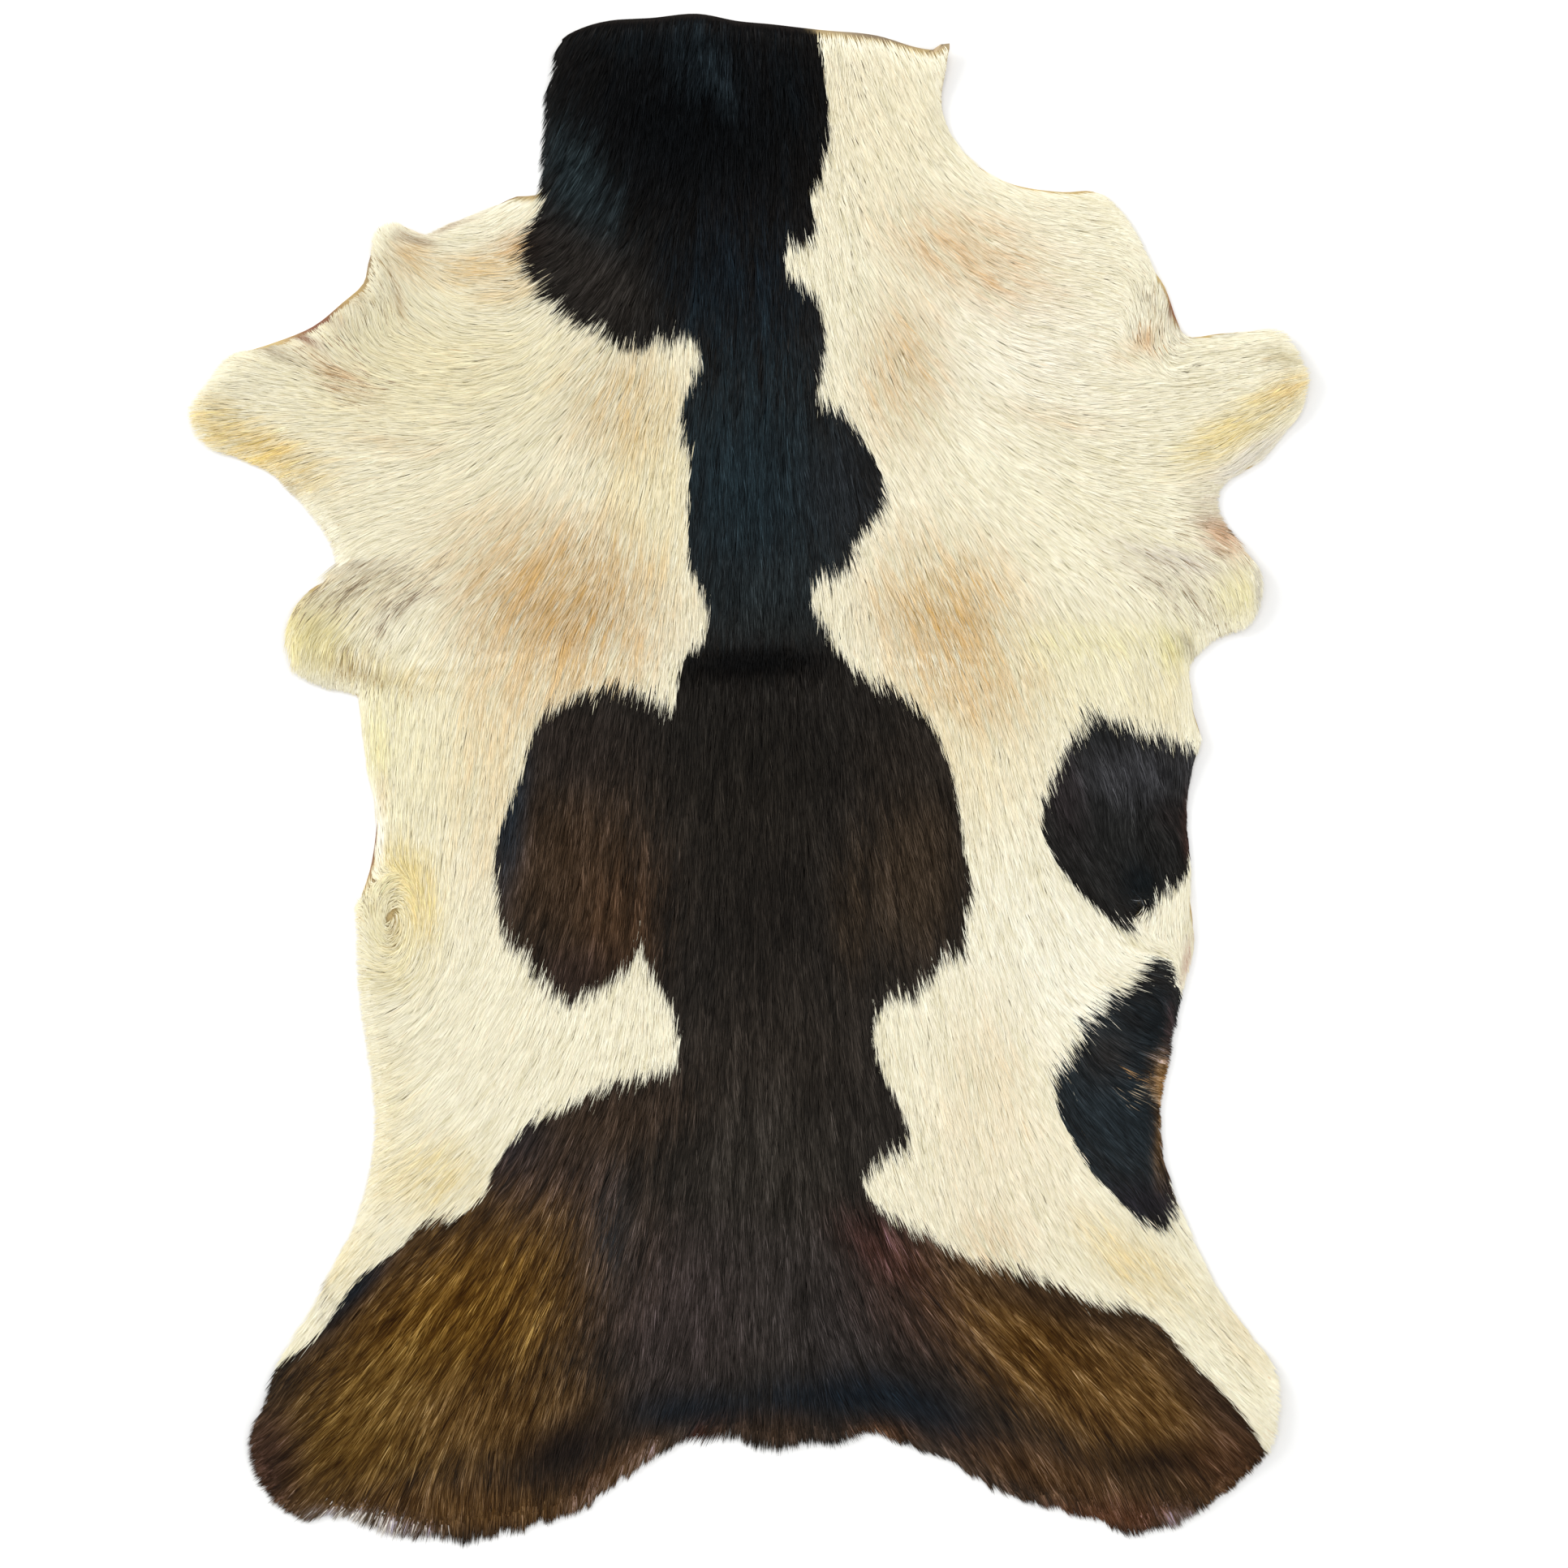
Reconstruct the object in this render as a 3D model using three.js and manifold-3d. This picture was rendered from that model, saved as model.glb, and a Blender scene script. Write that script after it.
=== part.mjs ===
import * as THREE from "three";
import Module from "manifold-3d";

// A whole goatskin with the hair on, laid out flat with the hair side up. Millimetres, +Z up,
// +Y towards the neck and +X to the right of someone who looks down on it. The origin is on
// the floor, under the middle of the hide. Skin and coat are one piece, as they grow.

// Driving sizes
const backboneX = 10; // the backbone runs a little right of the middle
const cutEdge = 2.6; // height of the skin and its shortest hair right at the rim
const coatHeight = 8.4; // skin and lying coat, away from the rim
const rimSlope = 11; // distance over which the coat reaches its height
const rimStep = 17; // longest side of the rim's outline
const lumpHeight = 0.8; // the coat is uneven all over, in low swellings
const lumpWave = 96;

// Locks of hair that stand past the rim
const lockPitch = 6.6;
const lockWidth = 5.6;
const lockHeight = 2.2;
const lockRoot = 3; // how far a lock starts inside the rim

const coatColor = "#2a241f";
const degrees = Math.PI / 180;

// The rim, from the middle of the neck's cut end round by the animal's left side in the view
// from above. Each stretch has its points [x, y], the part of the backbone from which it
// spreads out, and its locks: how far they reach past the rim, and the way they point, in
// degrees from +X. A reach of 0 is a rim cut clean.
const rim = [
  { name: "neck end, left half", spine: [400, 393], reach: 0, heading: 270,
    points: [[-6, 468], [-31, 472.5], [-58, 470], [-85, 468], [-102, 463], [-114, 456]] },
  { name: "left side of the neck", spine: [391, 345], reach: 4, heading: 225,
    points: [[-119, 446], [-124, 434], [-126, 410], [-127, 385], [-127, 367]] },
  { name: "edge in front of the left foreleg", spine: [338, 225], reach: 0, heading: 180,
    points: [[-132, 360.5], [-143, 360], [-163, 350.5], [-184, 342.5], [-201, 335]] },
  { name: "nub on that edge", spine: [215, 203], reach: 0, heading: 180,
    points: [[-209, 337], [-217, 343], [-229, 339]] },
  { name: "front of the left foreleg", spine: [202, 192], reach: 0, heading: 200,
    points: [[-234, 318], [-237, 306], [-250, 294], [-268, 279.5], [-295, 268.5], [-320, 261]] },
  { name: "end of the left foreleg", spine: [191, 186], reach: 2.5, heading: 190,
    points: [[-329, 250], [-337, 240], [-342.5, 230], [-344, 221], [-340, 213], [-334, 206]] },
  { name: "back of the left foreleg", spine: [184, 128], reach: 0, heading: 220,
    points: [[-320, 200], [-297, 190.5], [-285, 180], [-270, 163.5], [-258, 145], [-254, 132]] },
  { name: "left elbow flap", spine: [125, 62], reach: 0, heading: 215,
    points: [[-260, 124.5], [-274, 116.5], [-283, 102], [-285, 86], [-282, 68], [-268, 59],
      [-248, 53]] },
  { name: "left flank, before its whorl", spine: [56, -55], reach: 0, heading: 200,
    points: [[-240, 50], [-238, 35], [-234, 5], [-229, -18], [-231, -45], [-235, -62]] },
  { name: "left flank, behind its whorl", spine: [-62, -228], reach: 0, heading: 200,
    points: [[-241, -75], [-241, -107], [-239, -140], [-233, -178], [-230, -212], [-234, -246],
      [-245, -282]] },
  { name: "front of the left hind leg", spine: [-234, -298], reach: 3, heading: 225,
    points: [[-258, -305], [-267, -322], [-288, -356], [-294, -373], [-299, -390], [-306, -403]] },
  { name: "end of the left hind leg", spine: [-300, -310], reach: 4, heading: 235,
    points: [[-307, -412], [-304, -425], [-299, -438], [-287, -450], [-274, -456.5],
      [-262, -453]] },
  { name: "lower edge of the left hind leg", spine: [-311, -324], reach: 5.2, heading: 262,
    points: [[-250, -454], [-230, -458.5], [-210, -464], [-180, -466], [-158, -462],
      [-140, -459.5]] },
  { name: "left edge of the rump", spine: [-325, -334], reach: 6, heading: 250,
    points: [[-122, -455], [-104, -448.5], [-86, -435], [-66, -421], [-45, -409], [-32, -402]] },
  { name: "root of the tail", spine: [-336, -336], reach: 5, heading: 268,
    points: [[-22, -405], [-9, -405.5], [4, -409.5], [20, -411.5], [40, -409], [60, -409],
      [73, -403]] },
  { name: "right edge of the rump", spine: [-334, -322], reach: 6, heading: 300,
    points: [[84, -404], [102, -411], [125, -419.5], [150, -434], [172, -444], [196, -449.5]] },
  { name: "lower edge of the right hind leg", spine: [-320, -311], reach: 6, heading: 292,
    points: [[218, -456], [240, -463.5], [258, -458.5], [274, -453.5]] },
  { name: "end of the right hind leg", spine: [-310, -300], reach: 4, heading: 312,
    points: [[290, -444], [307, -431], [319, -418], [326, -404], [327.5, -388], [327, -372]] },
  { name: "front of the right hind leg", spine: [-298, -195], reach: 0, heading: 330,
    points: [[323, -359], [305, -336.5], [286, -307], [269, -270], [260, -245], [255, -218],
      [257, -190]] },
  { name: "right flank, behind its whorl", spine: [-188, -78], reach: 0, heading: 320,
    points: [[261, -170], [266, -142], [273, -115], [277, -92], [275, -72]] },
  { name: "right flank, before its whorl", spine: [-66, 62], reach: 0, heading: 330,
    points: [[272, -38], [271, -14], [275, 8], [280, 24], [275, 44], [273, 68]] },
  { name: "underside of the right elbow flap", spine: [74, 100], reach: 0, heading: 300,
    points: [[281, 79], [294, 88], [308, 93.5]] },
  { name: "right elbow flap", spine: [101, 140], reach: 0, heading: 330,
    points: [[315, 104], [318, 120], [315, 133], [299, 152], [292, 164], [291, 176]] },
  { name: "back of the right foreleg", spine: [144, 163], reach: 0, heading: 0,
    points: [[299, 186], [315, 194.5], [328, 209], [341, 226]] },
  { name: "end of the right foreleg", spine: [166, 180], reach: 0, heading: 10,
    points: [[345.5, 240], [346, 251], [339, 264], [331, 276]] },
  { name: "front edge of the right foreleg", spine: [183, 188], reach: 0, heading: 0,
    points: [[315, 276.5], [292, 275], [271, 273.5]] },
  { name: "right shoulder point", spine: [191, 262], reach: 0, heading: 30,
    points: [[266, 282], [258, 304], [250, 317], [239, 339], [226, 356], [214, 363]] },
  { name: "edge before the right shoulder", spine: [270, 350], reach: 0, heading: 300,
    points: [[195, 362.5], [165, 367], [148, 375], [134, 386], [123, 404]] },
  { name: "right side of the neck", spine: [358, 385], reach: 0, heading: 290,
    points: [[120, 420], [122, 434], [123, 447]] },
  { name: "neck end, right half", spine: [388, 400], reach: 0, heading: 270,
    points: [[105, 451], [80, 459], [45, 462.5], [15, 466]] },
];

// Tufts that stand out alone
const tufts = [
  { name: "beside the tail", x: -26, y: -404, reach: 14, width: 9, heading: 266 },
  { name: "outer corner of the left hind leg", x: -303, y: -400, reach: 5, width: 8, heading: 215 },
  { name: "left corner of the neck", x: -113, y: 455, reach: 5, width: 8, heading: 200 },
  { name: "right elbow flap", x: 301, y: 151, reach: 4, width: 7, heading: 25 },
];

// Soft rises and hollows of the coat, as long ovals: half length, half width, and the turn of
// the length in degrees from +X.
const swells = [
  { name: "ridge above the crease across the back", x: 8, y: 94, long: 260, wide: 20, turn: -1, rise: 5.5 },
  { name: "crease across the back", x: 8, y: 70, long: 250, wide: 15, turn: -1, rise: -3.6 },
  { name: "left shoulder", x: -120, y: 235, long: 120, wide: 70, turn: 35, rise: 4 },
  { name: "right shoulder", x: 150, y: 240, long: 120, wide: 75, turn: -35, rise: 4 },
  { name: "nape", x: -30, y: 400, long: 75, wide: 60, turn: 0, rise: 3.5 },
  { name: "neck against the left front edge", x: -112, y: 340, long: 70, wide: 18, turn: 100, rise: 4 },
  { name: "parting of the left shoulder", x: -222, y: 295, long: 50, wide: 22, turn: 75, rise: 3.5 },
  { name: "back behind the crease", x: 0, y: -20, long: 150, wide: 100, turn: 0, rise: 2.5 },
  { name: "left whorl", x: -214, y: -90, long: 34, wide: 30, turn: 0, rise: -2.6 },
  { name: "right whorl", x: 244, y: -76, long: 26, wide: 22, turn: 0, rise: -2 },
  { name: "left haunch", x: -170, y: -350, long: 140, wide: 80, turn: 35, rise: 4 },
  { name: "right haunch", x: 200, y: -350, long: 140, wide: 80, turn: -35, rise: 4 },
  { name: "hollow of the left flank", x: -150, y: -200, long: 110, wide: 60, turn: 80, rise: -1.8 },
  { name: "hollow of the right flank", x: 175, y: -190, long: 110, wide: 60, turn: -80, rise: -1.8 },
];

// Places where the dried rim curls up off the floor: each is a round swelling of the floor
// whose middle lies outside the rim.
const curls = [
  { name: "left corner of the neck", x: -138, y: 474, radius: 70, lift: 9 },
  { name: "right corner of the neck", x: 147, y: 464, radius: 72, lift: 11 },
  { name: "nub before the left foreleg", x: -222, y: 362, radius: 58, lift: 6 },
  { name: "end of the left foreleg", x: -372, y: 228, radius: 70, lift: 9 },
  { name: "end of the right foreleg", x: 374, y: 256, radius: 70, lift: 10 },
  { name: "left elbow flap", x: -312, y: 86, radius: 66, lift: 10 },
  { name: "right elbow flap", x: 344, y: 118, radius: 66, lift: 10 },
  { name: "right flank", x: 305, y: 24, radius: 62, lift: 6 },
  { name: "front of the left hind leg", x: -326, y: -380, radius: 68, lift: 7 },
  { name: "end of the right hind leg", x: 354, y: -392, radius: 68, lift: 8 },
];

// Rings from the rim towards the backbone: a distance from the rim, and then a share of the
// way that is left.
const topRings = [
  { inset: 0, share: 0 },
  { inset: 3.5, share: 0 },
  { inset: rimSlope, share: 0 },
  { inset: rimSlope, share: 0.18 },
  { inset: rimSlope, share: 0.36 },
  { inset: rimSlope, share: 0.54 },
  { inset: rimSlope, share: 0.72 },
  { inset: rimSlope, share: 0.9 },
];
const undersideRings = [
  { inset: 0, share: 0 },
  { inset: 20, share: 0 },
];
const floorRing = { inset: 42, share: 0 }; // the underside lies flat on the floor within it

const wasm = await Module();
wasm.setup();

function curlLift(x, y) {
  let lift = 0;
  for (const curl of curls) {
    const reach = Math.hypot(x - curl.x, y - curl.y) / curl.radius;
    if (reach < 1) lift = Math.max(lift, curl.lift * (1 - reach * reach) ** 2);
  }
  return lift;
}

function swellRise(x, y) {
  let rise = 0;
  for (const swell of swells) {
    const turn = swell.turn * degrees;
    const dx = x - swell.x;
    const dy = y - swell.y;
    const along = (dx * Math.cos(turn) + dy * Math.sin(turn)) / swell.long;
    const across = (dy * Math.cos(turn) - dx * Math.sin(turn)) / swell.wide;
    rise += swell.rise * Math.exp(-along * along - across * across);
  }
  const turns = 2 * Math.PI / lumpWave;
  const lumps = Math.sin((x + 0.4 * y) * turns) * Math.sin((y - 0.3 * x) * turns);
  return rise + lumpHeight * lumps;
}

// The rim's outline as one closed smooth curve through the points of all stretches, with the
// backbone place and the locks of each point.
function rimOutline() {
  const knots = [];
  for (const stretch of rim) {
    stretch.points.forEach(([x, y], index) => {
      const share = index / (stretch.points.length - 1);
      const spineY = THREE.MathUtils.lerp(stretch.spine[0], stretch.spine[1], share);
      knots.push({ x, y, spineY, reach: stretch.reach, heading: stretch.heading });
    });
  }
  const through = knots.map((knot) => new THREE.Vector3(knot.x, knot.y, 0));
  const curve = new THREE.CatmullRomCurve3(through, true, "centripetal");
  const outline = [];
  knots.forEach((knot, index) => {
    const next = knots[(index + 1) % knots.length];
    const steps = Math.ceil(Math.hypot(next.x - knot.x, next.y - knot.y) / rimStep);
    for (let step = 0; step < steps; step++) {
      const share = step / steps;
      const place = curve.getPoint((index + share) / knots.length);
      const spineY = THREE.MathUtils.lerp(knot.spineY, next.spineY, share);
      outline.push({ ...knot, x: place.x, y: place.y, spineY });
    }
  });
  return outline;
}

function ringPlace(point, ring) {
  const wayX = backboneX - point.x;
  const wayY = point.spineY - point.y;
  const length = Math.hypot(wayX, wayY);
  const travel = (ring.inset + (length - ring.inset) * ring.share) / length;
  return { x: point.x + wayX * travel, y: point.y + wayY * travel };
}

function coatTop(x, y, ring) {
  const grown = ring.share > 0 ? 1 : Math.sin(ring.inset / rimSlope * 90 * degrees);
  const height = cutEdge + (coatHeight - cutEdge + swellRise(x, y)) * grown;
  return Math.max(height, cutEdge) + curlLift(x, y);
}

function hideBody(outline) {
  const count = outline.length;
  const positions = [];
  const faces = [];

  function addRing(ring, heightAt) {
    const first = positions.length / 3;
    for (const point of outline) {
      const { x, y } = ringPlace(point, ring);
      positions.push(x, y, heightAt(x, y, ring));
    }
    return first;
  }

  // Two triangles for each side of the rim, between a ring and the next one to its left
  function joinRings(right, left) {
    for (let index = 0; index < count; index++) {
      const next = (index + 1) % count;
      faces.push(right + index, right + next, left + next);
      faces.push(right + index, left + next, left + index);
    }
  }

  // The innermost ring of the coat is closed over the backbone by a ladder of triangles from
  // its left side to its right side, which steps down on whichever side is higher.
  function closeOverBackbone(first) {
    let left = 0;
    let right = count - 1;
    const heightUp = (index) => positions[(first + index) * 3 + 1];
    while (right - left > 1) {
      const stepLeft = heightUp(left + 1) > heightUp(right - 1);
      const next = stepLeft ? left + 1 : right - 1;
      faces.push(first + left, first + next, first + right);
      if (stepLeft) left = next;
      else right = next;
    }
  }

  function closeUnderside(first) {
    const loop = [];
    for (let index = 0; index < count; index++) {
      const at = (first + index) * 3;
      loop.push(new THREE.Vector2(positions[at], positions[at + 1]));
    }
    for (const corners of THREE.ShapeUtils.triangulateShape(loop, [])) {
      const [a, b, c] = corners.map((corner) => first + corner);
      const turnsRight = THREE.ShapeUtils.isClockWise(corners.map((corner) => loop[corner]));
      if (turnsRight) faces.push(a, b, c);
      else faces.push(a, c, b);
    }
  }

  const top = topRings.map((ring) => addRing(ring, coatTop));
  const under = undersideRings.map((ring) => addRing(ring, curlLift));
  under.push(addRing(floorRing, () => 0));
  for (let ring = 1; ring < top.length; ring++) joinRings(top[ring - 1], top[ring]);
  for (let ring = 1; ring < under.length; ring++) joinRings(under[ring], under[ring - 1]);
  joinRings(under[0], top[0]);
  closeOverBackbone(top[top.length - 1]);
  closeUnderside(under[under.length - 1]);
  return solid(positions, faces);
}

function solid(positions, faces) {
  const mesh = new wasm.Mesh({
    numProp: 3,
    vertProperties: new Float32Array(positions),
    triVerts: new Uint32Array(faces),
  });
  return new wasm.Manifold(mesh);
}

// A lock has three sides and comes to a point: its flat underside lies level, and its ridge
// falls to the tip.
function lock(x, y, reach, width, heading) {
  const alongX = Math.cos(heading * degrees);
  const alongY = Math.sin(heading * degrees);
  const floor = curlLift(x, y);
  const positions = [];
  const sections = [
    { at: -lockRoot, half: width / 2, height: lockHeight },
    { at: reach * 0.35, half: width * 0.34, height: lockHeight * 0.75 },
  ];
  for (const section of sections) {
    const middleX = x + alongX * section.at;
    const middleY = y + alongY * section.at;
    positions.push(middleX + alongY * section.half, middleY - alongX * section.half, floor);
    positions.push(middleX - alongY * section.half, middleY + alongX * section.half, floor);
    positions.push(middleX, middleY, floor + section.height);
  }
  positions.push(x + alongX * reach, y + alongY * reach, floor);
  const root = [0, 2, 1];
  const underside = [0, 1, 4, 0, 4, 3, 3, 4, 6];
  const rightSide = [0, 3, 5, 0, 5, 2, 3, 6, 5];
  const leftSide = [1, 2, 5, 1, 5, 4, 4, 5, 6];
  return solid(positions, [...root, ...underside, ...rightSide, ...leftSide]);
}

// Locks at an even pitch along the rim, each a little longer or shorter, and turned a little,
// beside the last one.
function rimLocks(outline) {
  const locks = [];
  let walked = 0;
  outline.forEach((point, index) => {
    const next = outline[(index + 1) % outline.length];
    const side = Math.hypot(next.x - point.x, next.y - point.y);
    for (; walked < side; walked += lockPitch) {
      if (point.reach === 0) continue;
      const x = point.x + (next.x - point.x) * walked / side;
      const y = point.y + (next.y - point.y) * walked / side;
      const uneven = Math.sin(locks.length * 2.4) * 0.35 + Math.sin(locks.length * 0.9) * 0.15;
      const turn = Math.sin(locks.length * 1.7) * 9;
      locks.push(lock(x, y, point.reach * (1 + uneven), lockWidth, point.heading + turn));
    }
    walked -= side;
  });
  return locks;
}

function goatskin() {
  const outline = rimOutline();
  const lone = tufts.map((tuft) => lock(tuft.x, tuft.y, tuft.reach, tuft.width, tuft.heading));
  const whole = wasm.Manifold.union([hideBody(outline), ...rimLocks(outline), ...lone]);
  const { vertProperties, triVerts } = whole.getMesh();
  const geometry = new THREE.BufferGeometry();
  geometry.setAttribute("position", new THREE.BufferAttribute(vertProperties, 3));
  geometry.setIndex(new THREE.BufferAttribute(triVerts, 1));
  geometry.computeVertexNormals();
  const coat = new THREE.MeshStandardMaterial({ color: coatColor, roughness: 0.6, metalness: 0 });
  const mesh = new THREE.Mesh(geometry, coat);
  mesh.name = "goatskin";
  return mesh;
}

const group = new THREE.Group();
group.add(goatskin());

export default group;
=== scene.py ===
import math

import bpy
import numpy as np
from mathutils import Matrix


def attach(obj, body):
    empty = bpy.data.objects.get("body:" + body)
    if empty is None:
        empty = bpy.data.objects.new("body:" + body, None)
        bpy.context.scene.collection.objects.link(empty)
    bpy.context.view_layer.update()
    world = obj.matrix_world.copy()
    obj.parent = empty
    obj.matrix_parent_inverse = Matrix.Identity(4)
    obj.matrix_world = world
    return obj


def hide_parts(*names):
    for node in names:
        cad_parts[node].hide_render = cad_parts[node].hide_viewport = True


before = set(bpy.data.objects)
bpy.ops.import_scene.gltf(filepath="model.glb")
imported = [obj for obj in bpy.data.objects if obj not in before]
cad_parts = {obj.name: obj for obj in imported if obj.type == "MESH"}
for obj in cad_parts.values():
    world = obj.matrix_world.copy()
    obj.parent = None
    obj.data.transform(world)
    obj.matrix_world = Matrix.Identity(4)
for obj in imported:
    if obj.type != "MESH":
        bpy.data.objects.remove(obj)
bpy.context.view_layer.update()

bl_info = {
    "name": "Goatskin",
    "version": (1, 0, 0),
    "blender": (4, 5, 0),
    "location": "View3D > Sidebar > Goatskin",
    "description": "A whole goatskin with the hair on, laid out flat with the hair side up",
    "category": "Object",
}

MM = 0.001
SEED = 41

# Tables are in millimetres, +Y towards the neck, as seen from above the hair.

BACKBONE_X = 10.0
CUT_EDGE = 2.6  # height of the skin and its shortest hair right at the rim
COAT_HEIGHT = 8.4  # skin and lying coat, away from the rim
RIM_SLOPE = 11.0  # distance over which the coat reaches its height

# The rim, from the middle of the neck's cut end round by the left side. Each stretch has the
# part of the backbone from which it spreads out, how far its hair passes the skin's edge, how
# far single tufts stand past the rim, and its points. Where the tufts' value is negative, the
# coat stops short of the rim, and bare skin shows.
RIM = [
    # neck end, left half
    ((400, 393), 0.0, 0.6,
     [(-6, 468), (-31, 472.5), (-58, 470), (-85, 468), (-102, 463), (-114, 456)]),
    # left side of the neck
    ((391, 345), 5.0, 4.0, [(-119, 446), (-124, 434), (-126, 410), (-127, 385), (-127, 367)]),
    # edge in front of the left foreleg
    ((338, 225), 1.0, 1.2, [(-132, 360.5), (-143, 360), (-163, 350.5), (-184, 342.5), (-201, 335)]),
    # nub on that edge
    ((215, 203), 3.0, 1.5, [(-209, 337), (-217, 343), (-229, 339)]),
    # front of the left foreleg
    ((202, 194.5), 0.2, -2.8,
     [(-234, 318), (-237, 306), (-250, 294), (-268, 279.5), (-295, 268.5)]),
    ((193.5, 192), 0.5, 1.2, [(-308, 264.6), (-320, 261)]),
    # end of the left foreleg
    ((191, 186), 6.0, 2.5,
     [(-329, 250), (-337, 240), (-342.5, 230), (-344, 221), (-340, 213), (-334, 206)]),
    # back of the left foreleg
    ((184, 128), 2.5, 1.5,
     [(-320, 200), (-297, 190.5), (-285, 180), (-270, 163.5), (-258, 145), (-254, 132)]),
    # left elbow flap
    ((125, 62), 4.0, 1.8,
     [(-260, 124.5), (-274, 116.5), (-283, 102), (-285, 86), (-282, 68), (-268, 59), (-248, 53)]),
    # left flank, before its whorl
    ((56, -55), 0.4, 1.0,
     [(-240, 50), (-238, 35), (-234, 5), (-229, -18), (-231, -45), (-235, -62)]),
    # left flank, behind its whorl
    ((-62, -228), 2.5, 1.8,
     [(-241, -75), (-241, -107), (-239, -140), (-233, -178), (-230, -212), (-234, -246),
      (-245, -282)]),
    # front of the left hind leg
    ((-234, -298), 4.5, 3.0,
     [(-258, -305), (-267, -322), (-288, -356), (-294, -373), (-299, -390), (-306, -403)]),
    # end of the left hind leg
    ((-300, -310), 7.0, 4.0,
     [(-307, -412), (-304, -425), (-299, -438), (-287, -450), (-274, -456.5), (-262, -453)]),
    # lower edge of the left hind leg
    ((-311, -324), 9.0, 9.0,
     [(-250, -454), (-230, -458.5), (-210, -464), (-180, -466), (-158, -462), (-140, -459.5)]),
    # left edge of the rump
    ((-325, -334), 9.0, 6.5,
     [(-122, -455), (-104, -448.5), (-86, -435), (-66, -421), (-45, -409), (-32, -402)]),
    # root of the tail
    ((-336, -336), 9.0, 5.0,
     [(-22, -405), (-9, -405.5), (4, -409.5), (20, -411.5), (40, -409), (60, -409), (73, -403)]),
    # right edge of the rump
    ((-334, -322), 9.0, 5.0,
     [(84, -404), (102, -411), (125, -419.5), (150, -434), (172, -444), (196, -449.5)]),
    # lower edge of the right hind leg
    ((-320, -311), 8.0, 5.5, [(218, -456), (240, -463.5), (258, -458.5), (274, -453.5)]),
    # end of the right hind leg
    ((-310, -300), 5.0, 3.0,
     [(290, -444), (307, -431), (319, -418), (326, -404), (327.5, -388), (327, -372)]),
    # front of the right hind leg
    ((-298, -195), 1.2, 1.6,
     [(323, -359), (305, -336.5), (286, -307), (269, -270), (260, -245), (255, -218),
      (257, -190)]),
    # right flank, behind its whorl
    ((-188, -78), 2.0, 2.0, [(261, -170), (266, -142), (273, -115), (277, -92), (275, -72)]),
    # right flank, before its whorl
    ((-66, 62), 0.4, 1.0, [(272, -38), (271, -14), (275, 8), (280, 24), (275, 44), (273, 68)]),
    # underside of the right elbow flap
    ((74, 100), 3.0, 2.0, [(281, 79), (294, 88), (308, 93.5)]),
    # right elbow flap
    ((101, 140), 3.0, 1.8,
     [(315, 104), (318, 120), (315, 133), (299, 152), (292, 164), (291, 176)]),
    # back of the right foreleg
    ((144, 163), 1.0, 1.2, [(299, 186), (315, 194.5), (328, 209), (341, 226)]),
    # end of the right foreleg
    ((166, 180), 5.0, 2.0, [(345.5, 240), (346, 251), (339, 264), (331, 276)]),
    # front edge of the right foreleg
    ((183, 188), 0.4, 0.8, [(315, 276.5), (292, 275), (271, 273.5)]),
    # right shoulder point
    ((191, 205), 0.3, -3.6, [(266, 282), (258, 304)]),
    ((219, 262), 0.8, 1.2, [(250, 317), (239, 339), (226, 356), (214, 363)]),
    # edge before the right shoulder
    ((270, 350), 0.4, 0.8, [(195, 362.5), (165, 367), (148, 375), (134, 386), (123, 404)]),
    # right side of the neck
    ((358, 385), 0.3, 0.8, [(120, 420), (122, 434), (124, 446), (125, 453)]),
    # neck end, right half
    ((388, 400), 0.0, 0.6,
     [(121, 452.5), (117, 449.5), (105, 451), (80, 459), (45, 462.5), (15, 466)]),
]

# Soft rises and hollows of the coat, as long ovals: x, y, half length, half width, turn of the
# length in degrees from +X, rise.
SWELLS = [
    (8, 97, 240, 17, -1, 5.5),  # ridge above the crease across the back
    (6, 71, 220, 10, 1, -5),  # crease across the back
    (-120, 235, 120, 70, 35, 4),  # left shoulder
    (150, 240, 120, 75, -35, 4),  # right shoulder
    (-30, 400, 75, 60, 0, 3.5),  # nape
    (-112, 340, 70, 18, 100, 4),  # neck against the left front edge
    (-222, 295, 50, 22, 75, 3.5),  # parting of the left shoulder
    (0, -20, 150, 100, 0, 2.5),  # back behind the crease
    (-214, -90, 34, 30, 0, -1.6),  # left whorl
    (244, -76, 26, 22, 0, -2),  # right whorl
    (-170, -350, 140, 80, 35, 4),  # left haunch
    (200, -350, 140, 80, -35, 4),  # right haunch
    (-150, -200, 110, 60, 80, -1.8),  # hollow of the left flank
    (175, -190, 110, 60, -80, -1.8),  # hollow of the right flank
]
# Narrow creases and rolls, in the coat alone
CREASES = [
    (-233, 69, 30, 3.5, -16, -2.4),  # under the left elbow flap
    (-262, 86, 26, 13, -10, 1.6),  # roll of the left elbow flap
    (-216, 300, 20, 2.5, 98, -2.2),  # parting of the left shoulder
    (-206, 330, 11, 3, -8, -1.8),  # root of the nub
    (-262, 262, 34, 4, -30, -1.4),  # along the front of the left foreleg
    (268, 81, 14, 3, -60, -2.4),  # above the right elbow flap
    (246, 304, 16, 3, -38, 1.6), (250, 296, 14, 3, -38, -1.8),  # fold of the right shoulder point
    (243, 274, 12, 3, 50, -1.6),  # pocket under it
    (300, 200, 30, 8, 38, -1.2),  # back of the right foreleg
    (-217, -88, 11, 2.5, 84, -1.2),  # middle of the left whorl
    (-214, -54, 22, 6, -20, 1.6),  # roll above the left whorl
    (242, -76, 5, 5, 0, -1.4),  # middle of the right whorl
    (-185, 70, 50, 4, 4, -1.4), (190, 86, 60, 4, 3, -1.4),  # ends of the crease
]
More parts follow.
